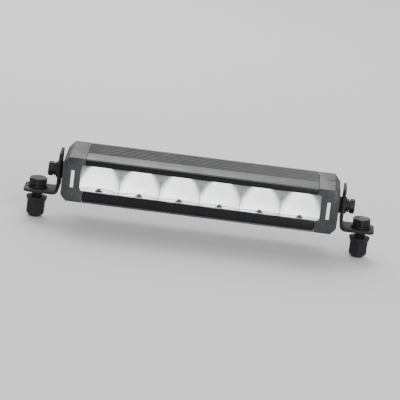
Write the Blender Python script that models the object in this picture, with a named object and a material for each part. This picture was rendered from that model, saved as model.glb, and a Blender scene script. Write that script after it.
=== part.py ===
"""An LED light bar for a vehicle: a finned housing with six reflector cells behind a clear lens,
hung between two L brackets whose feet are bolted to the vehicle.

Frame: metres, +Z up, the bar along X, the lens facing -Y. The origin lies midway between the two
foot bolts, on the plane that the undersides of the feet rest on. The lamp turns about the X axis
through its two side bolts. Lamp pieces are modelled about that axis and hang on the empty there.
"""

import math

import bmesh
import bpy
from mathutils import Matrix

# ---------------------------------------------------------------- clearances
GAP = 0.0003  # between any two pieces that touch
HOLE_PLAY = 0.0003  # between a shank and the wall of its hole, on the radius

# ---------------------------------------------------------------- optics
CELL_COUNT = 6
CELL_PITCH = 0.030
WINDOW_HEIGHT = 0.020  # clear height of the lens, and the radius of a reflector's mouth
FOCAL_LENGTH = 0.0085
REFLECTOR_WALL = 0.0012
LENS_THICKNESS = 0.0025
LENS_GASKET = 0.0010
LED_SIDE = 0.0035
LED_BASE = 0.0007
LED_DOME = 0.0014
LED_DOME_RADIUS = 0.00147
LED_BOARD = 0.0016
PAD_THICKNESS = 0.0005

# ---------------------------------------------------------------- housing
TOP_BEZEL = 0.0053  # housing above the window
BOTTOM_BEZEL = 0.0087  # housing below the window
LIP = 0.0012  # rim of the extrusion round the bezel strips
STRIP_THICKNESS = 0.0024
STRIP_RECESS = 0.0003
COLLAR_DEPTH = 0.0190  # smooth top behind the front, before the fins
COLLAR_WALL = 0.0017  # between the room behind the lens and the first groove
PORT_SKIN = 0.0008  # metal above and below a screw port in the ceiling
PORT_WALL = 0.0012  # metal between the step of the room and the first port
DRIVER_ROOM = 0.01895  # depth of the room between the reflectors and the rear wall
REAR_CEILING = 0.0138  # least height of the room behind the step, above the window's lower edge
REAR_WALL = 0.0030
REAR_FIN = 0.0092
FIN_THICKNESS = 0.0016
FIN_PITCH = 0.0040
UNDER_GROOVE = 0.0022  # depth and width of the shallow grooves underneath

# ---------------------------------------------------------------- end caps
CAP_LENGTH = 0.0165
CAP_NOTCH = 0.0030  # how far the window runs into each cap
CAP_CHAMFER = 0.0043
CAP_POCKET = 0.0075
LENS_LAP = 0.0030  # lens beyond the window at each end
END_GASKET = 0.0005
GASKET_INSET = 0.0013
GASKET_SKIN = 0.0003  # gasket below the lower screw holes
PIVOT_PAD = 0.0005
TOP_SLOT_Y = 0.0030
TOP_SLOT_WIDTH = 0.0012
TOP_SLOT_DEPTH = 0.0010
TOP_SLOT_REACH = 0.0090

# ---------------------------------------------------------------- fasteners
CAP_SCREW = 0.0030
CAP_SCREW_HEAD = 0.0055
CAP_SCREW_HEAD_HEIGHT = 0.0030
CAP_SCREW_GRIP = 0.0085  # thread inside the extrusion
SIDE_BOLT = 0.0060
SIDE_BOLT_FLATS = 0.0100
SIDE_BOLT_HEAD = 0.0040
INSERT_WALL = 0.0015
INSERT_LENGTH = 0.0068
FOOT_BOLT = 0.0080
FOOT_BOLT_FLATS = 0.0130
FOOT_BOLT_HEAD = 0.0053
PANEL_SPACE = 0.0053  # room for the vehicle's panel between a foot and its nut
NUT_FLANGE = 0.0158
NUT_FLANGE_HEIGHT = 0.0032
NUT_BARREL = 0.0130
NUT_BARREL_HEIGHT = 0.0098
NUT_DOME = 0.0028

# ---------------------------------------------------------------- brackets
PLATE = 0.0020
BRACKET_WIDTH = 0.0230
PLATE_ABOVE_PIVOT = 0.0150
PANEL_CLEARANCE = 0.0005  # between the level lamp and the plane of the feet
BEND_RADIUS = 0.0025  # inside the bend
FOOT_BEYOND_BOLT = 0.0100
FOOT_BOLT_FROM_PLATE = 0.0145
PLATE_CORNER = 0.0030
FOOT_CORNER = 0.0045
FRICTION_WASHER = 0.0015
WASHER_THICKNESS = 0.0014
WASHER_WIDTH = 0.0030  # ring width of a flat washer
SPRING_WASHER = 0.0015
SPRING_WASHER_WIDTH = 0.0018

# ---------------------------------------------------------------- rear fittings
GLAND_X = 0.0
GLAND_STUB = 0.0060
GLAND_FLATS = 0.0150
GLAND_BORE = 0.0032
GLAND_FLANGE = 0.0034
GLAND_STEM = 0.0090  # height of its threaded stem above the wall
GLAND_THREAD_STEP = 0.0010  # how much thinner the stem is than the stub in the wall
GLAND_INSIDE = 0.0015  # how far the stub stands into the housing
GLAND_POCKET = 0.0030  # room round the gland in the fins
SEAL_HEIGHT = 0.0022
SEAL_GRIP = 0.0006  # how much narrower the seal's hole is than the gland's
NUT_CROWN = 0.0022  # height of the gland nut above the seal
VENT_X = 0.0290
VENT_STUB = 0.0024
VENT_HEAD = 0.0048
VENT_RIM = 0.0018
VENT_HEIGHT = 0.0026
VENT_INSIDE = 0.0008
VENT_POCKET = 0.0015

# ---------------------------------------------------------------- driver
DRIVER_LENGTH = 0.0640
DRIVER_X = -0.0500
DRIVER_BOARD = 0.0016
INDUCTOR_RADIUS = 0.0046
CAPACITOR_RADIUS = 0.0032
CAPACITOR_SPACING = 0.0080
CHIP_SIDE = 0.0060
CHIP_HEIGHT = 0.0012

SIDES = 24

# ---------------------------------------------------------------- places worked out from the sizes
WINDOW_HALF = CELL_COUNT * CELL_PITCH / 2
LAMP_HEIGHT = TOP_BEZEL + WINDOW_HEIGHT + BOTTOM_BEZEL
TOP = LAMP_HEIGHT / 2
BOTTOM = -TOP
WINDOW_TOP = TOP - TOP_BEZEL
WINDOW_BOTTOM = BOTTOM + BOTTOM_BEZEL
PIVOT_HEIGHT = LAMP_HEIGHT / 2 + PANEL_CLEARANCE
CEILING_WALL = CAP_SCREW + 2 * (HOLE_PLAY + PORT_SKIN)

REFLECTOR_DEPTH = WINDOW_HEIGHT**2 / (4 * FOCAL_LENGTH)
LENS_FROM_FRONT = STRIP_RECESS + STRIP_THICKNESS + GAP
REFLECTOR_FROM_FRONT = LENS_FROM_FRONT + LENS_THICKNESS + GAP
VERTEX_FROM_FRONT = REFLECTOR_FROM_FRONT + REFLECTOR_DEPTH
ROOM_FROM_FRONT = VERTEX_FROM_FRONT + REFLECTOR_WALL + DRIVER_ROOM
LAMP_DEPTH = ROOM_FROM_FRONT + REAR_WALL + REAR_FIN
FRONT = -LAMP_DEPTH / 2
REAR = LAMP_DEPTH / 2
LENS_FRONT = FRONT + LENS_FROM_FRONT
LENS_BACK = LENS_FRONT + LENS_THICKNESS
SHOULDER = LENS_BACK + GAP + LENS_GASKET + GAP
REFLECTOR_FRONT = FRONT + REFLECTOR_FROM_FRONT
VERTEX = FRONT + VERTEX_FROM_FRONT
ROOM_BACK = FRONT + ROOM_FROM_FRONT
COLLAR_END = FRONT + COLLAR_DEPTH
STEP = COLLAR_END - COLLAR_WALL

BOARD_TOP = WINDOW_BOTTOM - GAP
BOARD_BOTTOM = BOARD_TOP - LED_BOARD
PAD_TOP = BOARD_BOTTOM - GAP
FLOOR = PAD_TOP - PAD_THICKNESS - GAP
HIGH_CEILING = WINDOW_TOP + REFLECTOR_WALL + GAP

CAP_INNER = WINDOW_HALF - CAP_NOTCH
CAP_OUTER = CAP_INNER + CAP_LENGTH
CAP_FACE = CAP_INNER + GAP / 2
BODY_END = CAP_INNER - GAP / 2
LENS_HALF = WINDOW_HALF + LENS_LAP

WASHER_BASE = CAP_OUTER + PIVOT_PAD + GAP
PLATE_INNER = WASHER_BASE + FRICTION_WASHER + GAP
PLATE_OUTER = PLATE_INNER + PLATE
FOOT_BOLT_X = PLATE_OUTER + FOOT_BOLT_FROM_PLATE
FOOT_END = FOOT_BOLT_X + FOOT_BEYOND_BOLT


def mouth_radius(y):
    """Radius of the reflector's parabola at a distance along the lamp's depth."""
    return math.sqrt(4 * FOCAL_LENGTH * max(VERTEX - y, 0.0))


LOW_CEILING = WINDOW_BOTTOM + max(mouth_radius(STEP), REAR_CEILING) + REFLECTOR_WALL + GAP
FIN_BASE = LOW_CEILING + CEILING_WALL
UPPER_PORT_Z = LOW_CEILING + CEILING_WALL / 2
LOWER_PORT_Z = FLOOR - CAP_SCREW / 2 - 3 * GAP
SCREW_PORTS = (
    (STEP + PORT_WALL + HOLE_PLAY + CAP_SCREW / 2, UPPER_PORT_Z),
    (STEP - 2 * CAP_SCREW, LOWER_PORT_Z),
    (ROOM_BACK + 1.5 * CAP_SCREW, UPPER_PORT_Z),
    (ROOM_BACK + 1.5 * CAP_SCREW, LOWER_PORT_Z),
)


# ---------------------------------------------------------------- scene helpers
def clear_scene():
    for obj in list(bpy.data.objects):
        bpy.data.objects.remove(obj, do_unlink=True)


def finish(name, colour, roughness, metallic=0.0):
    """A Principled material."""
    material = bpy.data.materials.new(name)
    material.use_nodes = True
    shader = material.node_tree.nodes["Principled BSDF"]
    shader.inputs["Base Color"].default_value = (*colour, 1.0)
    shader.inputs["Roughness"].default_value = roughness
    shader.inputs["Metallic"].default_value = metallic
    return material


def empty(name, location):
    obj = bpy.data.objects.new(name, None)
    obj.location = location
    bpy.context.scene.collection.objects.link(obj)
    return obj


def add(name, bm, material, parent, smooth=False):
    """Links a mesh object made from bm, with its faces turned outwards."""
    bmesh.ops.recalc_face_normals(bm, faces=bm.faces)
    mesh = bpy.data.meshes.new(name)
    bm.to_mesh(mesh)
    bm.free()
    if smooth:
        mesh.shade_smooth()
        mesh.set_sharp_from_angle(angle=math.radians(35))
    if material is not None:
        mesh.materials.append(material)
    obj = bpy.data.objects.new(name, mesh)
    obj.parent = parent
    bpy.context.scene.collection.objects.link(obj)
    return obj


def copy_of(source, name, parent, location=(0, 0, 0), rotation=(0, 0, 0)):
    """Another object on the same mesh."""
    obj = bpy.data.objects.new(name, source.data)
    obj.parent = parent
    obj.location = location
    obj.rotation_euler = rotation
    bpy.context.scene.collection.objects.link(obj)
    return obj


def carve(obj, tool_bm, operation="DIFFERENCE"):
    """Cuts, joins or trims obj with a tool given in obj's own coordinates."""
    tool = add(obj.name + "_tool", tool_bm, None, obj)
    tool.hide_render = True
    tool.display_type = "WIRE"
    boolean = obj.modifiers.new("carve", "BOOLEAN")
    boolean.operation = operation
    boolean.solver = "EXACT"
    boolean.object = tool
    bpy.context.view_layer.update()
    evaluated = obj.evaluated_get(bpy.context.evaluated_depsgraph_get())
    mesh = bpy.data.meshes.new_from_object(evaluated)
    old = obj.data
    obj.modifiers.remove(boolean)
    obj.data = mesh
    mesh.name = obj.name
    bpy.data.objects.remove(tool, do_unlink=True)
    bpy.data.meshes.remove(old)


def mirrored(source, name, parent, location=(0, 0, 0)):
    """The mirror image of a piece in the plane X = 0 of its own coordinates."""
    bm = bmesh.new()
    bm.from_mesh(source.data)
    bmesh.ops.scale(bm, vec=(-1, 1, 1), verts=bm.verts)
    obj = add(name, bm, source.data.materials[0], parent)
    obj.location = location
    return obj


# ---------------------------------------------------------------- shape helpers
def prism(outline, low, high, axis="X"):
    """A flat outline pushed along an axis. Outline points are (Y, Z), (X, Z) or (X, Y)."""
    place = {
        "X": lambda u, v, w: (w, u, v),
        "Y": lambda u, v, w: (u, w, v),
        "Z": lambda u, v, w: (u, v, w),
    }[axis]
    bm = bmesh.new()
    near = [bm.verts.new(place(u, v, low)) for u, v in outline]
    far = [bm.verts.new(place(u, v, high)) for u, v in outline]
    bm.faces.new(list(reversed(near)))
    bm.faces.new(far)
    for i in range(len(outline)):
        j = (i + 1) % len(outline)
        bm.faces.new((near[i], near[j], far[j], far[i]))
    return bm


def rectangle(u0, u1, v0, v1):
    return [(u0, v0), (u1, v0), (u1, v1), (u0, v1)]


def block(x0, x1, y0, y1, z0, z1):
    return prism(rectangle(y0, y1, z0, z1), x0, x1)


def hexagon_factor(angle):
    """How much further out than its flats a hexagon reaches at an angle. It has a flat at 0."""
    sixth = math.radians(60)
    return 1 / math.cos((angle + sixth / 2) % sixth - sixth / 2)


def turned(path, closed=False, sides=SIDES, turn=Matrix()):
    """A path of (radius, height) or (half flats, height, "hex") swept about the local Z axis.
    An open path starts and ends on the axis. A closed one is a ring's section."""
    bm = bmesh.new()
    rows = []
    for radius, height, *kind in path:
        if radius == 0:
            rows.append([bm.verts.new((0, 0, height))] * sides)
            continue
        row = []
        for i in range(sides):
            angle = 2 * math.pi * i / sides
            reach = radius * (hexagon_factor(angle) if kind else 1.0)
            row.append(bm.verts.new((reach * math.cos(angle), reach * math.sin(angle), height)))
        rows.append(row)
    pairs = list(zip(rows, rows[1:]))
    if closed:
        pairs.append((rows[-1], rows[0]))
    for lower, upper in pairs:
        for i in range(sides):
            j = (i + 1) % sides
            corners = []
            for vert in (lower[i], lower[j], upper[j], upper[i]):
                if vert not in corners:
                    corners.append(vert)
            bm.faces.new(corners)
    bm.transform(turn)
    return bm


def cylinder(radius, low, high, sides=SIDES, turn=Matrix()):
    return turned([(0, low), (radius, low), (radius, high), (0, high)], sides=sides, turn=turn)


def ring(inner, outer, low, high, sides=SIDES):
    section = [(inner, low), (outer, low), (outer, high), (inner, high)]
    return turned(section, closed=True, sides=sides)


ALONG_X = Matrix.Rotation(math.radians(90), 4, "Y")
ALONG_Y = Matrix.Rotation(math.radians(-90), 4, "X")


def bore(x0, x1, y, z, radius, sides=SIDES):
    """A cutter along X."""
    bm = cylinder(radius, x0, x1, sides, ALONG_X)
    bm.transform(Matrix.Translation((0, y, z)))
    return bm


def bore_y(y0, y1, x, z, radius):
    """A cutter along Y."""
    bm = cylinder(radius, y0, y1, SIDES, ALONG_Y)
    bm.transform(Matrix.Translation((x, 0, z)))
    return bm


def bevel_edges(bm, offset, segments, wanted):
    """Bevels the edges whose two end points both pass the test."""
    edges = [e for e in bm.edges if all(wanted(v.co) for v in e.verts)]
    bmesh.ops.bevel(
        bm, geom=edges, offset=offset, segments=segments, profile=0.5, affect="EDGES"
    )


# ---------------------------------------------------------------- the extrusion
def chamber_outline(grow=0.0):
    """Section (Y, Z) of the room behind the lens, grown outwards by an amount."""
    return [
        (SHOULDER - grow, FLOOR - grow),
        (ROOM_BACK + grow, FLOOR - grow),
        (ROOM_BACK + grow, LOW_CEILING + grow),
        (STEP + grow, LOW_CEILING + grow),
        (STEP + grow, HIGH_CEILING + grow),
        (SHOULDER - grow, HIGH_CEILING + grow),
    ]


def top_fins():
    """Section of the top behind the collar, from front to rear."""
    first = COLLAR_END
    span = REAR - first - FIN_THICKNESS
    count = max(1, round(span / FIN_PITCH))
    pitch = span / count
    points = []
    for i in range(count):
        groove_start = first + i * pitch
        groove_end = groove_start + pitch - FIN_THICKNESS
        points += [(groove_start, TOP), (groove_start, FIN_BASE)]
        points += [(groove_end, FIN_BASE), (groove_end, TOP)]
    points.append((REAR, TOP))
    return points


def rear_fins():
    """Section of the rear between the two thick plates, from top to bottom."""
    root = ROOM_BACK + REAR_WALL
    upper = LOW_CEILING
    lower = FLOOR
    count = max(1, round((upper - lower) / FIN_PITCH))
    pitch = (upper - lower + FIN_THICKNESS) / count
    points = []
    for i in range(count):
        start = upper - i * pitch
        end = start - pitch + FIN_THICKNESS
        points += [(REAR, start), (root, start), (root, end), (REAR, end)]
    return points


def under_grooves():
    """Shallow grooves along the underside, from rear to front."""
    first = STEP - CAP_SCREW
    last = ROOM_BACK
    step = 2 * UNDER_GROOVE
    count = int((last - first) / step)
    points = []
    for i in reversed(range(count)):
        start = first + i * step
        points += [
            (start + UNDER_GROOVE, BOTTOM),
            (start + UNDER_GROOVE, BOTTOM + UNDER_GROOVE),
            (start, BOTTOM + UNDER_GROOVE),
            (start, BOTTOM),
        ]
    return points


def housing(lamp, material):
    """The long extrusion: open towards the lens, finned on top and behind."""
    seat_top = TOP - LIP
    seat_bottom = BOTTOM + LIP
    outline = [(FRONT, TOP), *top_fins(), (REAR, FIN_BASE), *rear_fins(), (REAR, BOTTOM)]
    outline += under_grooves()
    outline += [(FRONT, BOTTOM), (FRONT, seat_bottom), (SHOULDER, seat_bottom)]
    outline += chamber_outline()
    outline += [(SHOULDER, seat_top), (FRONT, seat_top)]
    body = add("housing_extrusion", prism(outline, -BODY_END, BODY_END), material, lamp)
    port = CAP_SCREW / 2 + HOLE_PLAY
    depth = CAP_SCREW_GRIP + 2 * GAP
    for y, z in SCREW_PORTS:
        carve(body, bore(BODY_END - depth, BODY_END + GAP, y, z, port, 16))
        carve(body, bore(-BODY_END - GAP, -BODY_END + depth, y, z, port, 16))
    middle = (FLOOR + LOW_CEILING) / 2
    tall = (LOW_CEILING - FLOOR) / 2 - GAP
    root = ROOM_BACK + REAR_WALL
    for x, stub, half in (
        (GLAND_X, GLAND_STUB, GLAND_FLATS / 2 + GLAND_POCKET),
        (VENT_X, VENT_STUB, VENT_HEAD + VENT_POCKET),
    ):
        carve(body, block(x - half, x + half, root, REAR + GAP, middle - tall, middle + tall))
        carve(body, bore_y(ROOM_BACK - GAP, root + GAP, x, middle, stub + HOLE_PLAY))
    return body


# ---------------------------------------------------------------- the end caps
def gasket_outline(grow=0.0):
    """Outer edge (Y, Z) of an end gasket: the extrusion's section without its fins."""
    front = SHOULDER + GASKET_INSET - grow
    back = ROOM_BACK + 3 * CAP_SCREW - GASKET_INSET + grow
    shelf = COLLAR_END - GAP + grow
    low = LOWER_PORT_Z - CAP_SCREW / 2 - HOLE_PLAY - GASKET_SKIN - grow
    return [
        (front, low),
        (back, low),
        (back, FIN_BASE - GAP + grow),
        (shelf, FIN_BASE - GAP + grow),
        (shelf, TOP - LIP - GAP + grow),
        (front, TOP - LIP - GAP + grow),
    ]


def end_cap(lamp, material):
    """The right cap. Its outer edges are chamfered, and it is hollow towards the extrusion."""
    body = block(CAP_FACE, CAP_OUTER, FRONT, REAR, BOTTOM, TOP)
    at_end = CAP_OUTER - GAP
    for test in (
        lambda co: co.x > at_end and co.z > TOP - GAP,
        lambda co: co.x > at_end and co.z < BOTTOM + GAP,
        lambda co: co.x > at_end and co.y > REAR - GAP,
    ):
        bevel_edges(body, CAP_CHAMFER, 1, test)
    cap = add("end_cap_right", body, material, lamp)
    pad = bore(CAP_OUTER - GAP, CAP_OUTER + PIVOT_PAD, 0, 0, pivot_pad_radius())
    carve(cap, pad, "UNION")

    chamber_end = CAP_FACE + CAP_POCKET
    open_face = CAP_FACE - GAP
    carve(cap, prism(chamber_outline(), open_face, chamber_end))
    seat = (FRONT + LENS_FROM_FRONT - GAP, SHOULDER + GAP)
    seat_end = LENS_HALF + 2 * GAP
    carve(cap, block(open_face, seat_end, *seat, BOTTOM + LIP, TOP - LIP))
    carve(
        cap,
        block(open_face, WINDOW_HALF, FRONT - GAP, seat[1], WINDOW_BOTTOM, WINDOW_TOP),
    )
    gasket_room = CAP_FACE + END_GASKET + GAP
    carve(cap, prism(gasket_outline(GAP), open_face, gasket_room))

    head_room = CAP_SCREW_HEAD / 2 + HOLE_PLAY
    head_floor = screw_head_floor()
    for y, z in SCREW_PORTS:
        carve(cap, bore(head_floor - GAP, CAP_OUTER + GAP, y, z, head_room, 20))
        carve(cap, bore(open_face, head_floor, y, z, CAP_SCREW / 2 + HOLE_PLAY, 16))
    insert_hole = SIDE_BOLT / 2 + HOLE_PLAY + INSERT_WALL + HOLE_PLAY
    carve(cap, bore(insert_inner() - GAP, CAP_OUTER + PIVOT_PAD + GAP, 0, 0, insert_hole))

    deep = TOP_SLOT_DEPTH
    corner = CAP_CHAMFER
    slot = [
        (CAP_OUTER - TOP_SLOT_REACH, TOP + GAP),
        (CAP_OUTER - TOP_SLOT_REACH, TOP - deep),
        (CAP_OUTER - corner - deep / 2, TOP - deep),
        (CAP_OUTER - deep, TOP - corner - deep / 2),
        (CAP_OUTER - deep, TOP - TOP_SLOT_REACH),
        (CAP_OUTER + GAP, TOP - TOP_SLOT_REACH),
        (CAP_OUTER + GAP, TOP + GAP),
    ]
    carve(cap, prism(slot, TOP_SLOT_Y, TOP_SLOT_Y + TOP_SLOT_WIDTH, "Y"))
    return cap


def pivot_pad_radius():
    return SIDE_BOLT / 2 + HOLE_PLAY + WASHER_WIDTH


def screw_head_floor():
    """X of the face that the head of a cap screw rests on, a gap away."""
    return CAP_OUTER - CAP_CHAMFER - CAP_SCREW_HEAD_HEIGHT


def insert_inner():
    return CAP_OUTER - GAP - INSERT_LENGTH


def end_gasket(lamp, material):
    """A die-cut sheet between the extrusion and the right cap."""
    low = CAP_FACE
    high = CAP_FACE + END_GASKET
    sheet = add("end_gasket_right", prism(gasket_outline(), low, high), material, lamp)
    carve(sheet, prism(chamber_outline(GAP), low - GAP, high + GAP))
    for y, z in SCREW_PORTS:
        radius = CAP_SCREW / 2 + HOLE_PLAY
        carve(sheet, bore(low - GAP, high + GAP, y, z, radius, 16))
    return sheet


# ---------------------------------------------------------------- the front
def bezel_strips(lamp, material):
    back = LENS_FRONT - GAP
    front = FRONT + STRIP_RECESS
    half = BODY_END
    top = block(-half, half, front, back, WINDOW_TOP, TOP - LIP - GAP)
    bottom = block(-half, half, front, back, BOTTOM + LIP + GAP, WINDOW_BOTTOM)
    add("bezel_strip_top", top, material, lamp)
    add("bezel_strip_bottom", bottom, material, lamp)


def lens(lamp, material):
    play = 2 * GAP
    plate = block(
        -LENS_HALF, LENS_HALF, LENS_FRONT, LENS_BACK, BOTTOM + LIP + play, TOP - LIP - play
    )
    bevel_edges(plate, 2 * GAP, 2, lambda co: co.y < LENS_FRONT + GAP / 2)
    add("lens", plate, material, lamp)


def lens_gasket(lamp, material):
    front = LENS_BACK + GAP
    back = SHOULDER - GAP
    play = 2 * GAP
    frame = add(
        "lens_gasket",
        block(-LENS_HALF, LENS_HALF, front, back, BOTTOM + LIP + play, TOP - LIP - play),
        material,
        lamp,
    )
    side = WINDOW_HALF + GAP
    carve(
        frame,
        block(-side, side, front - GAP, back + GAP, BOARD_BOTTOM - GAP, HIGH_CEILING),
    )


# ---------------------------------------------------------------- optics
def half_bowl(grow):
    """Half of a paraboloid about the horizontal axis at the floor, open towards -Y."""
    steps = 9
    first = REFLECTOR_FRONT - 2 * GAP
    path = [(0, first)]
    for i in range(steps):
        inner = mouth_radius(first) * (1 - i / steps)
        path.append((inner + grow, VERTEX - inner**2 / (4 * FOCAL_LENGTH)))
    path.append((0, VERTEX + grow))
    bm = turned(path, sides=32, turn=ALONG_Y)
    bm.transform(Matrix.Translation((0, 0, WINDOW_BOTTOM)))
    return bm


def reflector(lamp, material):
    """One cell: a thin parabolic shell clipped by its flat side walls, with a front flange."""
    half = CELL_PITCH / 2 - GAP / 2
    wall = 2 * GAP
    back = VERTEX + REFLECTOR_WALL + GAP
    ceiling = WINDOW_TOP + REFLECTOR_WALL
    cell = add("reflector_1", half_bowl(REFLECTOR_WALL), material, lamp, smooth=True)
    clip = block(-half, half, REFLECTOR_FRONT, back, WINDOW_BOTTOM, ceiling)
    carve(cell, clip, "INTERSECT")
    flange_back = REFLECTOR_FRONT + REFLECTOR_WALL
    carve(cell, block(-half, half, REFLECTOR_FRONT, flange_back, WINDOW_BOTTOM, ceiling), "UNION")
    hollow = add("reflector_hollow", half_bowl(0.0), None, lamp)
    inside = half - wall
    carve(hollow, block(-inside, inside, FRONT, back, BOTTOM, TOP), "INTERSECT")
    bm = bmesh.new()
    bm.from_mesh(hollow.data)
    bpy.data.objects.remove(hollow, do_unlink=True)
    carve(cell, bm)
    return cell


def led(lamp, material):
    """A square base with a domed lens on it, facing up at the bowl's focus."""
    base = add("led_1", block(-1, 1, -1, 1, 0, LED_BASE), material, lamp)
    base.data.transform(Matrix.Diagonal((LED_SIDE / 2, LED_SIDE / 2, 1, 1)))
    dome = [(0, LED_BASE / 2)]
    radius = LED_DOME_RADIUS
    rise = LED_DOME + LED_BASE
    for i in range(4):
        angle = math.radians(90) * i / 4
        dome.append((radius * math.cos(angle), LED_BASE + (rise - LED_BASE) * math.sin(angle)))
    dome.append((0, rise))
    carve(base, turned(dome, sides=12), "UNION")
    return base


def optics(lamp, finishes):
    first_cell = reflector(lamp, finishes["mirror"])
    first_led = led(lamp, finishes["phosphor"])
    led_y = VERTEX - FOCAL_LENGTH
    for i in range(CELL_COUNT):
        x = (i - (CELL_COUNT - 1) / 2) * CELL_PITCH
        seat = (x, led_y, BOARD_TOP + GAP)
        if i == 0:
            first_cell.location = (x, 0, 0)
            first_led.location = seat
            continue
        copy_of(first_cell, f"reflector_{i + 1}", lamp, (x, 0, 0))
        copy_of(first_led, f"led_{i + 1}", lamp, seat)
    board_half = WINDOW_HALF - 3 * GAP
    back = VERTEX + REFLECTOR_WALL
    add(
        "led_board",
        block(-board_half, board_half, REFLECTOR_FRONT, back, BOARD_BOTTOM, BOARD_TOP),
        finishes["board"],
        lamp,
    )
    pad_half = BODY_END - GAP
    add(
        "thermal_pad",
        block(-pad_half, pad_half, SHOULDER + GAP, back, PAD_TOP - PAD_THICKNESS, PAD_TOP),
        finishes["pad"],
        lamp,
    )


# ---------------------------------------------------------------- the driver
def driver(lamp, finishes):
    """The driver board stands against the rear wall, with its parts facing the reflectors."""
    thickness = DRIVER_BOARD
    back = ROOM_BACK - 2 * GAP
    face = back - thickness
    low = FLOOR + 2 * GAP
    high = LOW_CEILING - 2 * GAP
    half = DRIVER_LENGTH / 2
    add(
        "driver_board",
        block(DRIVER_X - half, DRIVER_X + half, face, back, low, high),
        finishes["green_board"],
        lamp,
    )
    room = DRIVER_ROOM - thickness - 4 * GAP
    middle = (low + high) / 2
    facing = (math.radians(90), 0, 0)
    seat = face - GAP
    coil_height = room * 0.78
    coil = INDUCTOR_RADIUS
    core = [
        (0, 0),
        (coil, 0),
        (coil, coil_height * 0.18),
        (coil * 0.78, coil_height * 0.24),
        (coil * 0.78, coil_height * 0.76),
        (coil, coil_height * 0.82),
        (coil, coil_height),
        (0, coil_height),
    ]
    inductor = add("driver_inductor", turned(core, sides=20), finishes["ferrite"], lamp, True)
    inductor.location = (DRIVER_X + half * 0.55, seat, middle)
    inductor.rotation_euler = facing
    can = CAPACITOR_RADIUS
    apart = CAPACITOR_SPACING / 2
    can_height = room * 0.90
    can_path = [
        (0, 0),
        (can, 0),
        (can, can_height * 0.12),
        (can * 0.90, can_height * 0.18),
        (can, can_height * 0.24),
        (can, can_height * 0.93),
        (can * 0.9, can_height),
        (0, can_height),
    ]
    first = add("driver_capacitor_1", turned(can_path, sides=16), finishes["can"], lamp, True)
    first.location = (DRIVER_X - half * 0.10, seat, middle + apart)
    first.rotation_euler = facing
    second = (DRIVER_X - half * 0.10, seat, middle - apart)
    copy_of(first, "driver_capacitor_2", lamp, second, facing)
    chip = CHIP_SIDE / 2
    chip_x = DRIVER_X - half * 0.60
    add(
        "driver_chip",
        block(chip_x - chip, chip_x + chip, seat - CHIP_HEIGHT, seat, middle - chip, middle + chip),
        finishes["black_plastic"],
        lamp,
    )


# ---------------------------------------------------------------- rear fittings
def rear_fittings(lamp, finishes):
    """A cable gland and a breather vent in the rear wall, in pockets cut in the fins."""
    middle = (FLOOR + LOW_CEILING) / 2
    wall = ROOM_BACK + REAR_WALL
    backwards = (math.radians(-90), 0, 0)
    flats = GLAND_FLATS / 2
    flange = GLAND_FLANGE
    upper = GLAND_STUB - GLAND_THREAD_STEP
    stem_end = GLAND_STEM
    inside = -REAR_WALL - GLAND_INSIDE
    body_path = [
        (GLAND_BORE, inside),
        (GLAND_STUB, inside),
        (GLAND_STUB, GAP),
        (flats, GAP, "hex"),
        (flats, GAP + flange, "hex"),
        (upper, GAP + flange),
        (upper, stem_end),
        (GLAND_BORE, stem_end),
    ]
    body = turned(body_path, closed=True)
    gland = add("cable_gland_body", body, finishes["black_plastic"], lamp, True)
    gland.location = (GLAND_X, wall, middle)
    gland.rotation_euler = backwards
    base = 2 * GAP + flange
    seal_low = stem_end + GAP
    seal_high = seal_low + SEAL_HEIGHT
    nut_bore = upper + HOLE_PLAY
    nut_path = [
        (nut_bore, base),
        (flats * 0.93, base, "hex"),
        (flats * 0.93, seal_low, "hex"),
        (flats * 0.86, seal_low + SEAL_GRIP),
        (GLAND_BORE + 2 * SEAL_GRIP, seal_high + NUT_CROWN),
        (GLAND_BORE, seal_high + NUT_CROWN),
        (GLAND_BORE, seal_high + GAP),
        (nut_bore, seal_high + GAP),
    ]
    nut = add("cable_gland_nut", turned(nut_path, closed=True), finishes["black_plastic"], lamp, True)
    nut.location = gland.location
    nut.rotation_euler = backwards
    seal = ring(GLAND_BORE - SEAL_GRIP, upper - GAP, seal_low, seal_high)
    grommet = add("cable_seal", seal, finishes["rubber"], lamp, True)
    grommet.location = gland.location
    grommet.rotation_euler = backwards

    vent_path = [
        (0, -REAR_WALL - VENT_INSIDE),
        (VENT_STUB, -REAR_WALL - VENT_INSIDE),
        (VENT_STUB, GAP),
        (VENT_HEAD, GAP),
        (VENT_HEAD, VENT_RIM),
        (VENT_HEAD * 0.85, VENT_HEIGHT),
        (0, VENT_HEIGHT),
    ]
    vent = add("breather_vent", turned(vent_path), finishes["black_plastic"], lamp, True)
    vent.location = (VENT_X, wall, middle)
    vent.rotation_euler = backwards


# ---------------------------------------------------------------- fasteners
def hex_bolt(flats, head, shank, length):
    """A hex bolt whose head stands on Z = 0 and whose shank hangs below."""
    half = flats / 2
    radius = shank / 2
    tip = radius * 0.2
    return turned(
        [
            (0, -length),
            (radius - tip, -length),
            (radius, -length + tip),
            (radius, 0),
            (half, 0, "hex"),
            (half, head * 0.86, "hex"),
            (half * 0.93, head),
            (0, head),
        ]
    )


def cap_screw_mesh():
    """A socket head screw whose head stands on Z = 0."""
    radius = CAP_SCREW / 2
    head = CAP_SCREW_HEAD / 2
    height = CAP_SCREW_HEAD_HEIGHT
    socket = CAP_SCREW * 0.42
    length = screw_head_floor() + GAP - BODY_END + CAP_SCREW_GRIP
    return turned(
        [
            (0, -length),
            (radius, -length),
            (radius, 0),
            (head, 0),
            (head, height * 0.85),
            (head * 0.9, height),
            (socket, height, "hex"),
            (socket, height * 0.45, "hex"),
            (0, height * 0.45),
        ],
        sides=12,
    )


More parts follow.
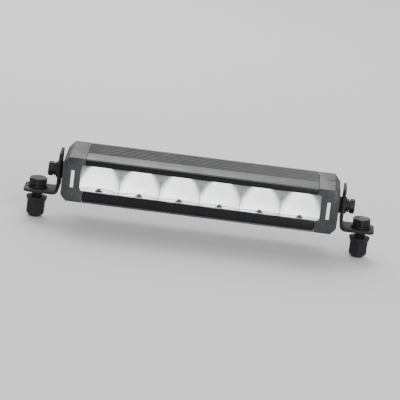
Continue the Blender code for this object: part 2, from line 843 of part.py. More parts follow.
def cap_screws(lamp, material):
    outwards = math.radians(90)
    x = screw_head_floor() + GAP
    first = None
    for side, sign in (("left", -1), ("right", 1)):
        for number, (y, z) in enumerate(SCREW_PORTS, 1):
            name = f"cap_screw_{side}_{number}"
            place = (sign * x, y, z)
            turn = (0, sign * outwards, 0)
            if first is None:
                first = add(name, cap_screw_mesh(), material, lamp, True)
                first.location = place
                first.rotation_euler = turn
                continue
            copy_of(first, name, lamp, place, turn)


def split_ring(inner, outer, height, sides=20):
    """A spring washer: a ring cut through, its ends a little apart in height."""
    bm = bmesh.new()
    rows = []
    opening = math.radians(10)
    rise = height * 0.12
    for i in range(sides + 1):
        share = i / sides
        angle = opening + (2 * math.pi - 2 * opening) * share
        low = rise * share
        high = height - rise * (1 - share)
        corners = [(inner, low), (outer, low), (outer, high), (inner, high)]
        rows.append(
            [bm.verts.new((r * math.cos(angle), r * math.sin(angle), h)) for r, h in corners]
        )
    bm.faces.new(rows[0])
    bm.faces.new(rows[-1])
    for a, b in zip(rows, rows[1:]):
        for i in range(4):
            j = (i + 1) % 4
            bm.faces.new((a[i], a[j], b[j], b[i]))
    return bm


def side_fasteners(lamp, finishes):
    """What clamps each bracket to its cap, stacked outwards along the pivot axis."""
    bolt_hole = SIDE_BOLT / 2 + HOLE_PLAY
    washer_edge = bolt_hole + WASHER_WIDTH
    flat_base = PLATE_OUTER + GAP
    spring_base = flat_base + WASHER_THICKNESS + GAP
    head_base = spring_base + SPRING_WASHER + GAP
    shank = head_base - insert_inner() - GAP
    insert_wall = bolt_hole + INSERT_WALL
    stack = (
        ("side_insert", ring(bolt_hole, insert_wall, 0, INSERT_LENGTH), insert_inner(), "brass"),
        ("friction_washer", ring(bolt_hole, washer_edge, 0, FRICTION_WASHER), WASHER_BASE, "rubber"),
        ("flat_washer", ring(bolt_hole, washer_edge, 0, WASHER_THICKNESS), flat_base, "black_steel"),
        (
            "spring_washer",
            split_ring(bolt_hole, bolt_hole + SPRING_WASHER_WIDTH, SPRING_WASHER),
            spring_base,
            "black_steel",
        ),
        (
            "side_bolt",
            hex_bolt(SIDE_BOLT_FLATS, SIDE_BOLT_HEAD, SIDE_BOLT, shank),
            head_base,
            "black_steel",
        ),
    )
    outwards = math.radians(90)
    for name, bm, x, kind in stack:
        right = add(f"{name}_right", bm, finishes[kind], lamp, True)
        right.location = (x, 0, 0)
        right.rotation_euler = (0, outwards, 0)
        copy_of(right, f"{name}_left", lamp, (-x, 0, 0), (0, -outwards, 0))


# ---------------------------------------------------------------- brackets and feet
def bracket(parent, material):
    """The right bracket about its pivot: an upright plate, a bend and a foot turned outwards."""
    inner = PLATE_INNER
    outer = PLATE_OUTER
    top = PLATE_ABOVE_PIVOT
    foot = -PIVOT_HEIGHT
    large = BEND_RADIUS + PLATE
    centre = (outer + BEND_RADIUS, foot + large)
    bend = 6
    outline = [(outer, top), (inner, top)]
    for i in range(bend + 1):
        angle = math.radians(180 + 90 * i / bend)
        outline.append(
            (centre[0] + large * math.cos(angle), centre[1] + large * math.sin(angle))
        )
    outline += [(FOOT_END, foot), (FOOT_END, foot + PLATE)]
    for i in reversed(range(bend + 1)):
        angle = math.radians(180 + 90 * i / bend)
        outline.append(
            (
                centre[0] + BEND_RADIUS * math.cos(angle),
                centre[1] + BEND_RADIUS * math.sin(angle),
            )
        )
    half = BRACKET_WIDTH / 2
    plate = prism(outline, -half, half, "Y")
    bevel_across(plate, PLATE_CORNER, lambda co: co.z > top - GAP)
    bevel_across(plate, FOOT_CORNER, lambda co: co.x > FOOT_END - GAP)
    piece = add("bracket_right", plate, material, parent)
    carve(piece, bore(inner - GAP, outer + GAP, 0, 0, SIDE_BOLT / 2 + HOLE_PLAY))
    hole = cylinder(FOOT_BOLT / 2 + HOLE_PLAY, foot - GAP, foot + PLATE + GAP)
    hole.transform(Matrix.Translation((FOOT_BOLT_X, 0, 0)))
    carve(piece, hole)
    return piece


def bevel_across(bm, offset, at_end):
    """Rounds the short edges across the plate's thickness at one end of a bracket."""
    edges = []
    for edge in bm.edges:
        a, b = edge.verts
        if at_end(a.co) and at_end(b.co) and abs(a.co.y - b.co.y) < GAP:
            edges.append(edge)
    bmesh.ops.bevel(bm, geom=edges, offset=offset, segments=5, profile=0.5, affect="EDGES")


def foot_fasteners(parents, finishes):
    """The bolt, washer and domed flange nut of each foot."""
    bolt_hole = FOOT_BOLT / 2 + HOLE_PLAY
    washer_base = PLATE + GAP
    head_base = washer_base + WASHER_THICKNESS + GAP
    flange_top = -PANEL_SPACE
    flange_bottom = flange_top - NUT_FLANGE_HEIGHT
    barrel_bottom = flange_bottom - NUT_BARREL_HEIGHT
    dome_bottom = barrel_bottom - NUT_DOME
    bore_bottom = barrel_bottom + NUT_DOME * 0.4
    length = head_base - bore_bottom - 2 * GAP
    barrel = NUT_BARREL / 2
    nut_path = [
        (0, bore_bottom),
        (bolt_hole, bore_bottom),
        (bolt_hole, flange_top),
        (NUT_FLANGE / 2, flange_top),
        (NUT_FLANGE / 2, flange_top - NUT_FLANGE_HEIGHT * 0.25),
        (barrel * 1.03, flange_bottom),
        (barrel, flange_bottom, "hex"),
        (barrel, barrel_bottom, "hex"),
        (barrel * 0.93, barrel_bottom - NUT_DOME * 0.35),
        (barrel * 0.62, barrel_bottom - NUT_DOME * 0.85),
        (0, dome_bottom),
    ]
    pieces = (
        ("foot_bolt", hex_bolt(FOOT_BOLT_FLATS, FOOT_BOLT_HEAD, FOOT_BOLT, length), head_base),
        ("foot_washer", ring(bolt_hole, bolt_hole + WASHER_WIDTH, 0, WASHER_THICKNESS), washer_base),
        ("foot_nut", turned(nut_path), 0.0),
    )
    for name, bm, z in pieces:
        height = z - PIVOT_HEIGHT
        right = add(f"{name}_right", bm, finishes["black_steel"], parents["right"], True)
        right.location = (FOOT_BOLT_X, 0, height)
        copy_of(right, f"{name}_left", parents["left"], (-FOOT_BOLT_X, 0, height))


# ---------------------------------------------------------------- assembly
def make_finishes():
    return {
        "anodised": finish("anodised_aluminium", (0.085, 0.087, 0.090), 0.42, 0.75),
        "cast": finish("textured_cast_cap", (0.075, 0.077, 0.080), 0.55, 0.35),
        "bezel": finish("gloss_black_bezel", (0.012, 0.012, 0.013), 0.22),
        "clear": finish("clear_lens", (0.90, 0.92, 0.94), 0.04),
        "mirror": finish("vacuum_metallised", (0.86, 0.87, 0.88), 0.10, 1.0),
        "phosphor": finish("led_package", (0.88, 0.80, 0.42), 0.35),
        "board": finish("white_led_board", (0.85, 0.86, 0.86), 0.35),
        "green_board": finish("green_circuit_board", (0.03, 0.16, 0.07), 0.40),
        "pad": finish("thermal_pad_grey", (0.42, 0.44, 0.47), 0.85),
        "rubber": finish("black_rubber", (0.02, 0.02, 0.02), 0.80),
        "black_plastic": finish("black_moulding", (0.018, 0.018, 0.019), 0.45),
        "black_steel": finish("black_zinc_steel", (0.022, 0.022, 0.024), 0.38, 0.60),
        "powder": finish("powder_coated_bracket", (0.020, 0.020, 0.021), 0.50, 0.20),
        "brass": finish("brass_insert", (0.62, 0.48, 0.20), 0.35, 1.0),
        "ferrite": finish("ferrite_core", (0.05, 0.05, 0.055), 0.60),
        "can": finish("capacitor_can", (0.60, 0.61, 0.63), 0.30, 0.90),
    }


def build():
    clear_scene()
    finishes = make_finishes()
    pivot = (0, 0, PIVOT_HEIGHT)
    lamp = empty("tilt_axis", pivot)
    parents = {"left": empty("left_bracket_axis", pivot), "right": empty("right_bracket_axis", pivot)}

    housing(lamp, finishes["anodised"])
    cap = end_cap(lamp, finishes["cast"])
    mirrored(cap, "end_cap_left", lamp)
    sheet = end_gasket(lamp, finishes["rubber"])
    mirrored(sheet, "end_gasket_left", lamp)
    bezel_strips(lamp, finishes["bezel"])
    lens(lamp, finishes["clear"])
    lens_gasket(lamp, finishes["rubber"])
    optics(lamp, finishes)
    driver(lamp, finishes)
    rear_fittings(lamp, finishes)
    cap_screws(lamp, finishes["black_steel"])
    side_fasteners(lamp, finishes)
    right = bracket(parents["right"], finishes["powder"])
    mirrored(right, "bracket_left", parents["left"])
    foot_fasteners(parents, finishes)


build()
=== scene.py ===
"""Looks of an LED light bar: a finned housing with six reflector cells, on two L brackets.

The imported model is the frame. Every piece here takes its place from a node's box, rides on one of
the three bodies, and is measured in metres.
"""

import logging
import math
from collections.abc import Callable, Sequence
from dataclasses import dataclass, field
from enum import Enum

import bmesh
import bpy
from mathutils import Matrix, Vector


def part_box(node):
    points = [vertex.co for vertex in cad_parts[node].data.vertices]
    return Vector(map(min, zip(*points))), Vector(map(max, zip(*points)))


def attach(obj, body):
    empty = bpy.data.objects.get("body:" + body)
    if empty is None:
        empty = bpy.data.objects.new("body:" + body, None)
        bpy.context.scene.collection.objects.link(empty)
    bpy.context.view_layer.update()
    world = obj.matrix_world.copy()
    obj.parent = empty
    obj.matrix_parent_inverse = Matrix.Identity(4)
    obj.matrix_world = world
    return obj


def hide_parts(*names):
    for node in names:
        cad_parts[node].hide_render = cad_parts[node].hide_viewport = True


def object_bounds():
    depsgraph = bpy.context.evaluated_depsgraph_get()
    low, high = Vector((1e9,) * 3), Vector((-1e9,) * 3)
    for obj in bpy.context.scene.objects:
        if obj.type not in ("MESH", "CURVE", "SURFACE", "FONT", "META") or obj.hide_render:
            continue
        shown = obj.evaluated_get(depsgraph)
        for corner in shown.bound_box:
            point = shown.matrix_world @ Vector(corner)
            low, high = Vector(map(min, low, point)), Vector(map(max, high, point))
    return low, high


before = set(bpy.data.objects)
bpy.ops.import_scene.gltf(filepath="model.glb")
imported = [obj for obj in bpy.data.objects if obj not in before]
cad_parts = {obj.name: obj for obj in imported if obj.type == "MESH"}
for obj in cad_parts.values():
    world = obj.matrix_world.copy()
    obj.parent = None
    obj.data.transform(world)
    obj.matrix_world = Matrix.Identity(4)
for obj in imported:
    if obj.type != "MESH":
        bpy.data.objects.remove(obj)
CAD_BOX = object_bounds()
LOG = logging.getLogger("light_bar")

Triple = tuple[float, float, float]
Colour = Triple
Row = Callable[[float], tuple[float, float]]


# ------------------------------------------------------------------------------ places and names
class Body(Enum):
    """The bodies that pieces ride on."""

    LAMP = "lamp"
    LEFT = "bracket_left"
    RIGHT = "bracket_right"


class Side(Enum):
    """The two ends of the bar, with the sign of X there."""

    LEFT = -1
    RIGHT = 1

    @property
    def label(self) -> str:
        """The word that node names end in."""
        return self.name.lower()

    @property
    def body(self) -> Body:
        """The bracket's body at this end."""
        return Body.LEFT if self is Side.LEFT else Body.RIGHT

    @property
    def outwards(self) -> Matrix:
        """The turn that points a piece's own Z axis away from the lamp."""
        return Matrix.Rotation(self.value * math.radians(90), 4, "Y")


@dataclass(frozen=True)
class Box:
    """A node's lowest and highest corners."""

    low: Vector
    high: Vector

    @classmethod
    def of(cls, node: str) -> "Box":
        """The box of a CAD node at rest."""
        low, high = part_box(node)
        return cls(Vector(low), Vector(high))

    @property
    def centre(self) -> Vector:
        """The middle of the box."""
        return (self.low + self.high) / 2

    @property
    def size(self) -> Vector:
        """The three sides of the box."""
        return self.high - self.low

    def end(self, side: Side) -> float:
        """The X of the box's face at one end of the bar."""
        return self.high.x if side is Side.RIGHT else self.low.x


# ------------------------------------------------------------------------------ mesh making
def mesh_object(name: str, bm: bmesh.types.BMesh) -> bpy.types.Object:
    """Makes an object at the origin from a bmesh, and frees the bmesh.

    Args:
        name: the object's name.
        bm: the shape.

    Returns:
        The object, linked to the scene.
    """
    mesh = bpy.data.meshes.new(name)
    bm.to_mesh(mesh)
    bm.free()
    obj = bpy.data.objects.new(name, mesh)
    bpy.context.scene.collection.objects.link(obj)
    return obj


def applied(obj: bpy.types.Object) -> None:
    """Turns an object's modifiers into plain mesh and removes them.

    Args:
        obj: the object.
    """
    bpy.context.view_layer.update()
    evaluated = obj.evaluated_get(bpy.context.evaluated_depsgraph_get())
    mesh = bpy.data.meshes.new_from_object(evaluated)
    old = obj.data
    obj.modifiers.clear()
    obj.data = mesh
    mesh.name = obj.name
    bpy.data.meshes.remove(old)


def discard(obj: bpy.types.Object) -> None:
    """Removes a pattern or cutter that isn't a piece."""
    bpy.data.objects.remove(obj, do_unlink=True)


def block(low: Vector, high: Vector) -> bmesh.types.BMesh:
    """A closed block between two corners.

    Args:
        low: the lowest corner.
        high: the highest corner.

    Returns:
        The shape.
    """
    bm = bmesh.new()
    bmesh.ops.create_cube(bm, size=1.0)
    bm.transform(Matrix.Diagonal((*(high - low), 1.0)))
    bm.transform(Matrix.Translation((low + high) / 2))
    return bm


def prism(corners: Sequence[tuple[float, float]], low: float, high: float) -> bmesh.types.BMesh:
    """An upright closed prism.

    Args:
        corners: the X and Y of its corners, in order.
        low: the height of its foot.
        high: the height of its top.

    Returns:
        The shape, facing out.
    """
    bm = bmesh.new()
    foot = [bm.verts.new((x, y, low)) for x, y in corners]
    top = [bm.verts.new((x, y, high)) for x, y in corners]
    bm.faces.new(foot)
    bm.faces.new(top)
    for i in range(len(corners)):
        j = (i + 1) % len(corners)
        bm.faces.new((foot[i], foot[j], top[j], top[i]))
    bmesh.ops.recalc_face_normals(bm, faces=bm.faces)
    return bm


def level(radius: float, height: float) -> Row:
    """A round row of a turned shape: its radius, and its height on the axis."""
    return lambda angle: (radius, height)


def hexagon_reach(half_flats: float, angle: float) -> float:
    """How far a hexagon reaches at an angle from the middle of a flat."""
    sixth = math.radians(60)
    return half_flats / math.cos((angle + sixth / 2) % sixth - sixth / 2)


def hexagon(half_flats: float, height: float, drop: float = 0.0, rim: float = 0.0) -> Row:
    """A hexagonal row, whose corners may be cut lower by a turned chamfer.

    Args:
        half_flats: half the width across flats.
        height: its height where the chamfer starts.
        drop: how much lower it is for each metre beyond the rim.
        rim: the radius where the chamfer starts.

    Returns:
        The row.
    """

    def row(angle: float) -> tuple[float, float]:
        reach = hexagon_reach(half_flats, angle)
        return reach, height - drop * max(reach - rim, 0.0)

    return row


def turned(rows: Sequence[Row], sides: int = 72, ring: bool = False) -> bmesh.types.BMesh:
    """Sweeps rows about the Z axis.

    Args:
        rows: the rows in order. Unless it is a ring, the first and last are closed with a point.
        sides: how many steps there are round the axis.
        ring: whether the last row joins the first.

    Returns:
        The closed shape, facing out.
    """
    bm = bmesh.new()
    loops = []
    for row in rows:
        loop = []
        for i in range(sides):
            angle = 2 * math.pi * i / sides
            radius, height = row(angle)
            loop.append(bm.verts.new((radius * math.cos(angle), radius * math.sin(angle), height)))
        loops.append(loop)
    pairs = list(zip(loops, loops[1:]))
    if ring:
        pairs.append((loops[-1], loops[0]))
    for lower, upper in pairs:
        for i in range(sides):
            j = (i + 1) % sides
            bm.faces.new((lower[i], lower[j], upper[j], upper[i]))
    if not ring:
        bm.faces.new(loops[0])
        bm.faces.new(loops[-1])
    bmesh.ops.recalc_face_normals(bm, faces=bm.faces)
    return bm


def washer_rows(inner: float, outer: float, thickness: float) -> list[Row]:
    """The rows of a flat ring that stands on Z = 0."""
    return [level(inner, 0), level(outer, 0), level(outer, thickness), level(inner, thickness)]


EDGE = "edge"
# the attribute that marks where a finish takes its painted shade
PAINTED_SHADE = "shade"
SAME_POINT = 2e-6  # corners closer together than this are one corner


def soften(obj: bpy.types.Object, width: float, segments: int = 2, angle: float = 32.0) -> None:
    """Rounds an object's edges and marks the rounded faces, which is where its finish wears.

    Args:
        obj: the object.
        width: the width of the rounding.
        segments: how many faces it has.
        angle: edges sharper than this are rounded, in degrees.
    """
    mesh = obj.data
    mesh.materials.clear()
    mesh.materials.append(None)
    mesh.materials.append(None)
    mesh.polygons.foreach_set("material_index", [0] * len(mesh.polygons))
    mesh.shade_smooth()
    bevel = obj.modifiers.new("rounding", "BEVEL")
    bevel.width = width
    bevel.segments = segments
    bevel.limit_method = "ANGLE"
    bevel.angle_limit = math.radians(angle)
    bevel.material = 1
    bevel.harden_normals = True
    applied(obj)
    mesh = obj.data
    marks = mesh.attributes.new(EDGE, "FLOAT", "CORNER")
    for face in mesh.polygons:
        value = float(face.material_index == 1)
        for loop in face.loop_indices:
            marks.data[loop].value = value
        face.material_index = 0
    mesh.materials.clear()


def shade_where(obj: bpy.types.Object, test: Callable[[Vector], bool]) -> None:
    """Marks the faces that take the painted shade of their finish.

    Args:
        obj: the object.
        test: says whether a face with this middle is one of them.
    """
    marks = obj.data.attributes.new(PAINTED_SHADE, "FLOAT", "CORNER")
    for face in obj.data.polygons:
        value = float(test(face.center))
        for loop in face.loop_indices:
            marks.data[loop].value = value


def copy_of_node(node: str, name: str) -> bpy.types.Object:
    """Copies a CAD node's shape, with its triangles merged back into whole faces.

    Args:
        node: the node's name.
        name: the new object's name.

    Returns:
        The copy.
    """
    bm = bmesh.new()
    bm.from_mesh(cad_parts[node].data)
    bmesh.ops.remove_doubles(bm, verts=bm.verts, dist=SAME_POINT)
    flat = math.radians(0.5)
    bmesh.ops.dissolve_limit(bm, angle_limit=flat, verts=bm.verts, edges=bm.edges)
    return mesh_object(name, bm)


def cut(obj: bpy.types.Object, cutter: bmesh.types.BMesh) -> None:
    """Cuts a shape out of an object.

    Args:
        obj: the object.
        cutter: the shape, which is freed.
    """
    tool = mesh_object(f"{obj.name}_cutter", cutter)
    boolean = obj.modifiers.new("cut", "BOOLEAN")
    boolean.solver = "EXACT"
    boolean.object = tool
    applied(obj)
    discard(tool)


# ------------------------------------------------------------------------------ node trees
class Nodes:
    """Adds and joins the nodes of a tree."""

    def __init__(self, tree: bpy.types.NodeTree) -> None:
        """Works on a tree."""
        self.tree = tree

    def node(
        self, kind: str, links: dict[str | int, object], **settings: object
    ) -> bpy.types.Node:
        """Adds a node and joins its inputs.

        Args:
            kind: the node's type.
            links: for each input, a socket to join it to or a value.
            settings: the node's own settings.

        Returns:
            The node.
        """
        node = self.tree.nodes.new(kind)
        for name, value in settings.items():
            setattr(node, name, value)
        self.join(node, links)
        return node

    def join(self, node: bpy.types.Node, links: dict[str | int, object]) -> None:
        """Joins a node's inputs.

        Args:
            node: the node.
            links: for each input, a socket to join it to or a value.
        """
        for name, value in links.items():
            if isinstance(value, bpy.types.NodeSocket):
                self.tree.links.new(value, node.inputs[name])
            else:
                node.inputs[name].default_value = value

    def math(self, operation: str, first: object, second: object = 0.0) -> bpy.types.NodeSocket:
        """Adds a Math node, on one or two numbers or sockets, and gives its result."""
        node = self.node("ShaderNodeMath", {0: first, 1: second}, operation=operation)
        return node.outputs[0]

    def mask(
        self, value: bpy.types.NodeSocket, low: float, high: float, **settings: object
    ) -> bpy.types.NodeSocket:
        """Turns a number into a mask, which is 0 at the low number and 1 at the high one."""
        links = {"Value": value, "From Min": low, "From Max": high}
        return self.node("ShaderNodeMapRange", links, **settings).outputs[0]


class GeometryTree(Nodes):
    """A geometry node tree with named inputs, which ends in Realize Instances and Set Material."""

    def __init__(self, name: str, inputs: dict[str, str]) -> None:
        """Starts a tree that holds nothing but its inputs.

        Args:
            name: the tree's name.
            inputs: for each named input, the end of its socket type.
        """
        super().__init__(bpy.data.node_groups.new(name, "GeometryNodeTree"))
        add = self.tree.interface.new_socket
        for way in ("INPUT", "OUTPUT"):
            add("Geometry", in_out=way, socket_type="NodeSocketGeometry")
        self.sockets = {
            label: add(label, in_out="INPUT", socket_type=f"NodeSocket{kind}").identifier
            for label, kind in inputs.items()
        }
        self.entry = self.tree.nodes.new("NodeGroupInput")

    def given(self, name: str) -> bpy.types.NodeSocket:
        """The socket that a named input comes in by."""
        return self.entry.outputs[name]

    def close(
        self,
        geometry: bpy.types.NodeSocket,
        other: bpy.types.NodeSocket | None = None,
        where: bpy.types.NodeSocket | None = None,
    ) -> None:
        """Realizes the instances, sets their finish and joins the result to the output.

        Args:
            geometry: what the tree has made.
            other: a second material, for some of the faces.
            where: the mask of those faces.
        """
        real = self.node("GeometryNodeRealizeInstances", {"Geometry": geometry})
        dressed = self.node(
            "GeometryNodeSetMaterial",
            {"Geometry": real.outputs[0], "Material": self.given("Finish")},
        )
        if other is not None:
            dressed = self.node(
                "GeometryNodeSetMaterial",
                {"Geometry": dressed.outputs[0], "Selection": where, "Material": other},
            )
        self.node("NodeGroupOutput", {"Geometry": dressed.outputs[0]})

    def apply_to(self, obj: bpy.types.Object, values: dict[str, object]) -> None:
        """Puts the tree on an object and turns the result into plain mesh.

        Args:
            obj: the object.
            values: a value for each named input.
        """
        modifier = obj.modifiers.new(self.tree.name, "NODES")
        modifier.node_group = self.tree
        for name, value in values.items():
            modifier[self.sockets[name]] = value
        applied(obj)


def placed_tree() -> GeometryTree:
    """A tree that puts a copy of a piece on each point of the mesh it is on."""
    inputs = {"Piece": "Object", "Turn": "Vector", "Finish": "Material"}
    tree = GeometryTree("Pieces At Points", inputs)
    shape = tree.node("GeometryNodeObjectInfo", {"Object": tree.given("Piece")})
    spots = tree.node("GeometryNodeMeshToPoints", {"Mesh": tree.given("Geometry")})
    copies = tree.node(
        "GeometryNodeInstanceOnPoints",
        {
            "Points": spots.outputs[0],
            "Instance": shape.outputs["Geometry"],
            "Rotation": tree.given("Turn"),
        },
    )
    tree.close(copies.outputs[0])
    return tree


def ring_tree() -> GeometryTree:
    """A tree that sets copies of a piece round the Z axis, each turned to face out."""
    inputs = {"Piece": "Object", "Count": "Int", "Radius": "Float", "Finish": "Material"}
    tree = GeometryTree("Pieces In A Ring", inputs)
    shape = tree.node("GeometryNodeObjectInfo", {"Object": tree.given("Piece")})
    circle = tree.node(
        "GeometryNodeMeshCircle",
        {"Vertices": tree.given("Count"), "Radius": tree.given("Radius")},
    )
    index = tree.node("GeometryNodeInputIndex", {})
    share = tree.math("DIVIDE", index.outputs[0], tree.given("Count"))
    angle = tree.math("MULTIPLY", share, 2 * math.pi)
    turn = tree.node("ShaderNodeCombineXYZ", {"Z": angle})
    copies = tree.node(
        "GeometryNodeInstanceOnPoints",
        {
            "Points": circle.outputs[0],
            "Instance": shape.outputs["Geometry"],
            "Rotation": turn.outputs[0],
        },
    )
    tree.close(copies.outputs[0])
    return tree


def thread_tree(steps: int = 40, sides: int = 6) -> GeometryTree:
    """A tree that winds the ridge of a screw thread up the Z axis.

    Args:
        steps: how many steps there are in a turn.
        sides: how many sides the ridge's section has.

    Returns:
        The tree.
    """
    inputs = {name: "Float" for name in ("Turns", "Radius", "Length", "Ridge")}
    tree = GeometryTree("Screw Thread", {**inputs, "Finish": "Material"})
    spiral = tree.node(
        "GeometryNodeCurveSpiral",
        {
            "Resolution": steps,
            "Rotations": tree.given("Turns"),
            "Start Radius": tree.given("Radius"),
            "End Radius": tree.given("Radius"),
            "Height": tree.given("Length"),
        },
    )
    section = tree.node(
        "GeometryNodeCurvePrimitiveCircle", {"Resolution": sides, "Radius": tree.given("Ridge")}
    )
    ridge = tree.node(
        "GeometryNodeCurveToMesh",
        {"Curve": spiral.outputs[0], "Profile Curve": section.outputs[0], "Fill Caps": True},
    )
    tree.close(ridge.outputs[0])
    return tree


NEARLY_NONE = 1e-4  # stands for 0 where a number is divided by
WEDGE_FOOT = 1.25  # the width at a bowl's foot free of painted shade, as a share of half the bowl
WEDGE_START = -0.0042  # the painted shade starts this far beyond that width
WEDGE_END = 0.0026  # the painted shade is full this far beyond that width


def bowl_tree(columns: int = 72, band: int = 12) -> GeometryTree:
    """A tree that makes a row of half-parabolic bowls, each with flat sides and a flat front.

    One sheet is bent by rule: its first band is the parabola, its second the flat side walls and
    its third the flat spandrels. The parabola's axis is Y, at Z = 0, and the front is at Y = 0.
    The shade attribute marks painted shade: a soft wedge at the upper corners, where a bowl
    throws least light forwards.

    Args:
        columns: faces from one foot of the arch to the other.
        band: faces along each of the three bands.

    Returns:
        The tree.
    """
    lengths = ("Half Width", "Mouth", "Ceiling", "Focal Length", "Depth", "Pitch", "Lit Top")
    others = {"Count": "Int", "Finish": "Material", "Front Finish": "Material"}
    tree = GeometryTree("Reflector Bowls", {**{name: "Float" for name in lengths}, **others})
    half, mouth, count = tree.given("Half Width"), tree.given("Mouth"), tree.given("Count")
    grid = tree.node(
        "GeometryNodeMeshGrid",
        {"Size X": 1.0, "Size Y": 3.0, "Vertices X": columns + 1, "Vertices Y": 3 * band + 1},
    )
    place = tree.node("GeometryNodeInputPosition", {})
    parts = tree.node("ShaderNodeSeparateXYZ", {0: place.outputs[0]})
    angle = tree.math("MULTIPLY", tree.math("ADD", parts.outputs["X"], 0.5), math.pi)
    along = tree.math("ADD", parts.outputs["Y"], 1.5)
    bowl = tree.math("MINIMUM", along, 1.0)
    wall = tree.math("MAXIMUM", tree.math("MINIMUM", tree.math("SUBTRACT", along, 1.0), 1.0), 0.0)
    brow = tree.math("MAXIMUM", tree.math("SUBTRACT", along, 2.0), 0.0)

    cosine = tree.math("COSINE", angle)
    sine = tree.math("SINE", angle)
    level_cosine = tree.math("MAXIMUM", tree.math("ABSOLUTE", cosine), NEARLY_NONE)
    to_side = tree.math("DIVIDE", half, level_cosine)
    to_ceiling = tree.math(
        "DIVIDE", tree.given("Ceiling"), tree.math("MAXIMUM", sine, NEARLY_NONE)
    )
    rim = tree.math("MINIMUM", to_side, mouth)
    corner = tree.math("MINIMUM", to_side, to_ceiling)

    inner = tree.math("MULTIPLY", bowl, rim)
    widening = tree.math("MULTIPLY", brow, tree.math("SUBTRACT", corner, rim))
    radius = tree.math("ADD", inner, widening)
    square = tree.math("MULTIPLY", inner, inner)
    sag = tree.math("DIVIDE", square, tree.math("MULTIPLY", tree.given("Focal Length"), 4.0))
    deep = tree.math("MAXIMUM", tree.math("SUBTRACT", tree.given("Depth"), sag), 0.0)
    depth = tree.math("MULTIPLY", deep, tree.math("SUBTRACT", 1.0, wall))
    across = tree.math("MULTIPLY", radius, cosine)
    height = tree.math("MULTIPLY", radius, sine)
    bent = tree.node("ShaderNodeCombineXYZ", {"X": across, "Y": depth, "Z": height})

    # A soft wedge of painted shade at each bowl's upper corners.
    rise = tree.math("DIVIDE", height, mouth)
    narrowing = tree.math("MULTIPLY", rise, tree.math("SUBTRACT", half, tree.given("Lit Top")))
    lit = tree.math("SUBTRACT", tree.math("MULTIPLY", half, WEDGE_FOOT), narrowing)
    beyond = tree.math("SUBTRACT", tree.math("ABSOLUTE", across), lit)
    wedge = tree.mask(beyond, WEDGE_START, WEDGE_END, interpolation_type="SMOOTHSTEP")
    sheet = grid.outputs[0]
    for name, value, domain in (("band", along, "FACE"), (PAINTED_SHADE, wedge, "POINT")):
        sheet = tree.node(
            "GeometryNodeStoreNamedAttribute",
            {"Geometry": sheet, "Name": name, "Value": value},
            data_type="FLOAT",
            domain=domain,
        ).outputs[0]
    bowl_sheet = tree.node(
        "GeometryNodeSetPosition", {"Geometry": sheet, "Position": bent.outputs[0]}
    )
    whole = tree.node(
        "GeometryNodeMergeByDistance", {"Geometry": bowl_sheet.outputs[0], "Distance": SAME_POINT}
    )
    span = tree.math("MULTIPLY", tree.math("SUBTRACT", count, 1.0), tree.given("Pitch"))
    start = tree.node("ShaderNodeCombineXYZ", {"X": tree.math("MULTIPLY", span, -0.5)})
    step = tree.node("ShaderNodeCombineXYZ", {"X": tree.given("Pitch")})
    spots = tree.node(
        "GeometryNodeMeshLine",
        {"Count": count, "Start Location": start.outputs[0], "Offset": step.outputs[0]},
    )
    copies = tree.node(
        "GeometryNodeInstanceOnPoints", {"Points": spots.outputs[0], "Instance": whole.outputs[0]}
    )
    # The spandrels take the front finish, whose darkness is painted shade.
    band_of = tree.node("GeometryNodeInputNamedAttribute", {"Name": "band"}, data_type="FLOAT")
    is_front = tree.math("GREATER_THAN", band_of.outputs["Attribute"], 1.0)
    tree.close(copies.outputs[0], tree.given("Front Finish"), is_front)
    return tree


# ------------------------------------------------------------------------------ shader helpers
class Shader(Nodes):
    """Adds and joins the nodes of a material or a shader node group."""

    @property
    def surface(self) -> bpy.types.Node:
        """The Principled BSDF of a material."""
        return self.tree.nodes["Principled BSDF"]

    def place(self) -> bpy.types.NodeSocket:
        """A place on the object, in its own coordinates."""
        return self.node("ShaderNodeTexCoord", {}).outputs["Object"]

    def mix(self, share: object, first: object, second: object) -> bpy.types.NodeSocket:
        """Mixes two colours.

        Args:
            share: how much of the second there is.
            first: a colour or a socket.
            second: a colour or a socket.

        Returns:
            The colour.
        """
        first, second = (
            colour if isinstance(colour, bpy.types.NodeSocket) else (*colour, 1.0)
            for colour in (first, second)
        )
        node = self.node("ShaderNodeMix", {0: share, 6: first, 7: second}, data_type="RGBA")
        return node.outputs[2]

    def span(self, value: object, low: float, high: float) -> bpy.types.NodeSocket:
        """Maps a mask of 0 to 1 onto a span of numbers."""
        node = self.node("ShaderNodeMapRange", {"Value": value, "To Min": low, "To Max": high})
        return node.outputs[0]

    def blend(
        self, first: bpy.types.NodeSocket, second: bpy.types.NodeSocket, share: float
    ) -> bpy.types.NodeSocket:
        """Adds up two masks: the first has its share and the second has the rest."""
        parts = (self.math("MULTIPLY", first, share), self.math("MULTIPLY", second, 1 - share))
        return self.math("ADD", *parts)

    def noise(
        self, where: bpy.types.NodeSocket, scale: object, detail: float, rough: float
    ) -> bpy.types.NodeSocket:
        """Adds a noise texture, read at a place, and gives its value."""
        links = {"Vector": where, "Scale": scale, "Detail": detail, "Roughness": rough}
        return self.node("ShaderNodeTexNoise", links).outputs[0]

    def bump(
        self, height: bpy.types.NodeSocket, distance: float, strength: float
    ) -> bpy.types.NodeSocket:
        """Adds a bump, where a height of 1 stands out by the distance, and gives the normal."""
        links = {"Height": height, "Distance": distance, "Strength": strength}
        return self.node("ShaderNodeBump", links).outputs[0]

    def effect(self, group: bpy.types.NodeTree, values: dict[str, object]) -> bpy.types.Node:
        """Places a shared effect, with values for its inputs."""
        return self.node("ShaderNodeGroup", values, node_tree=group)


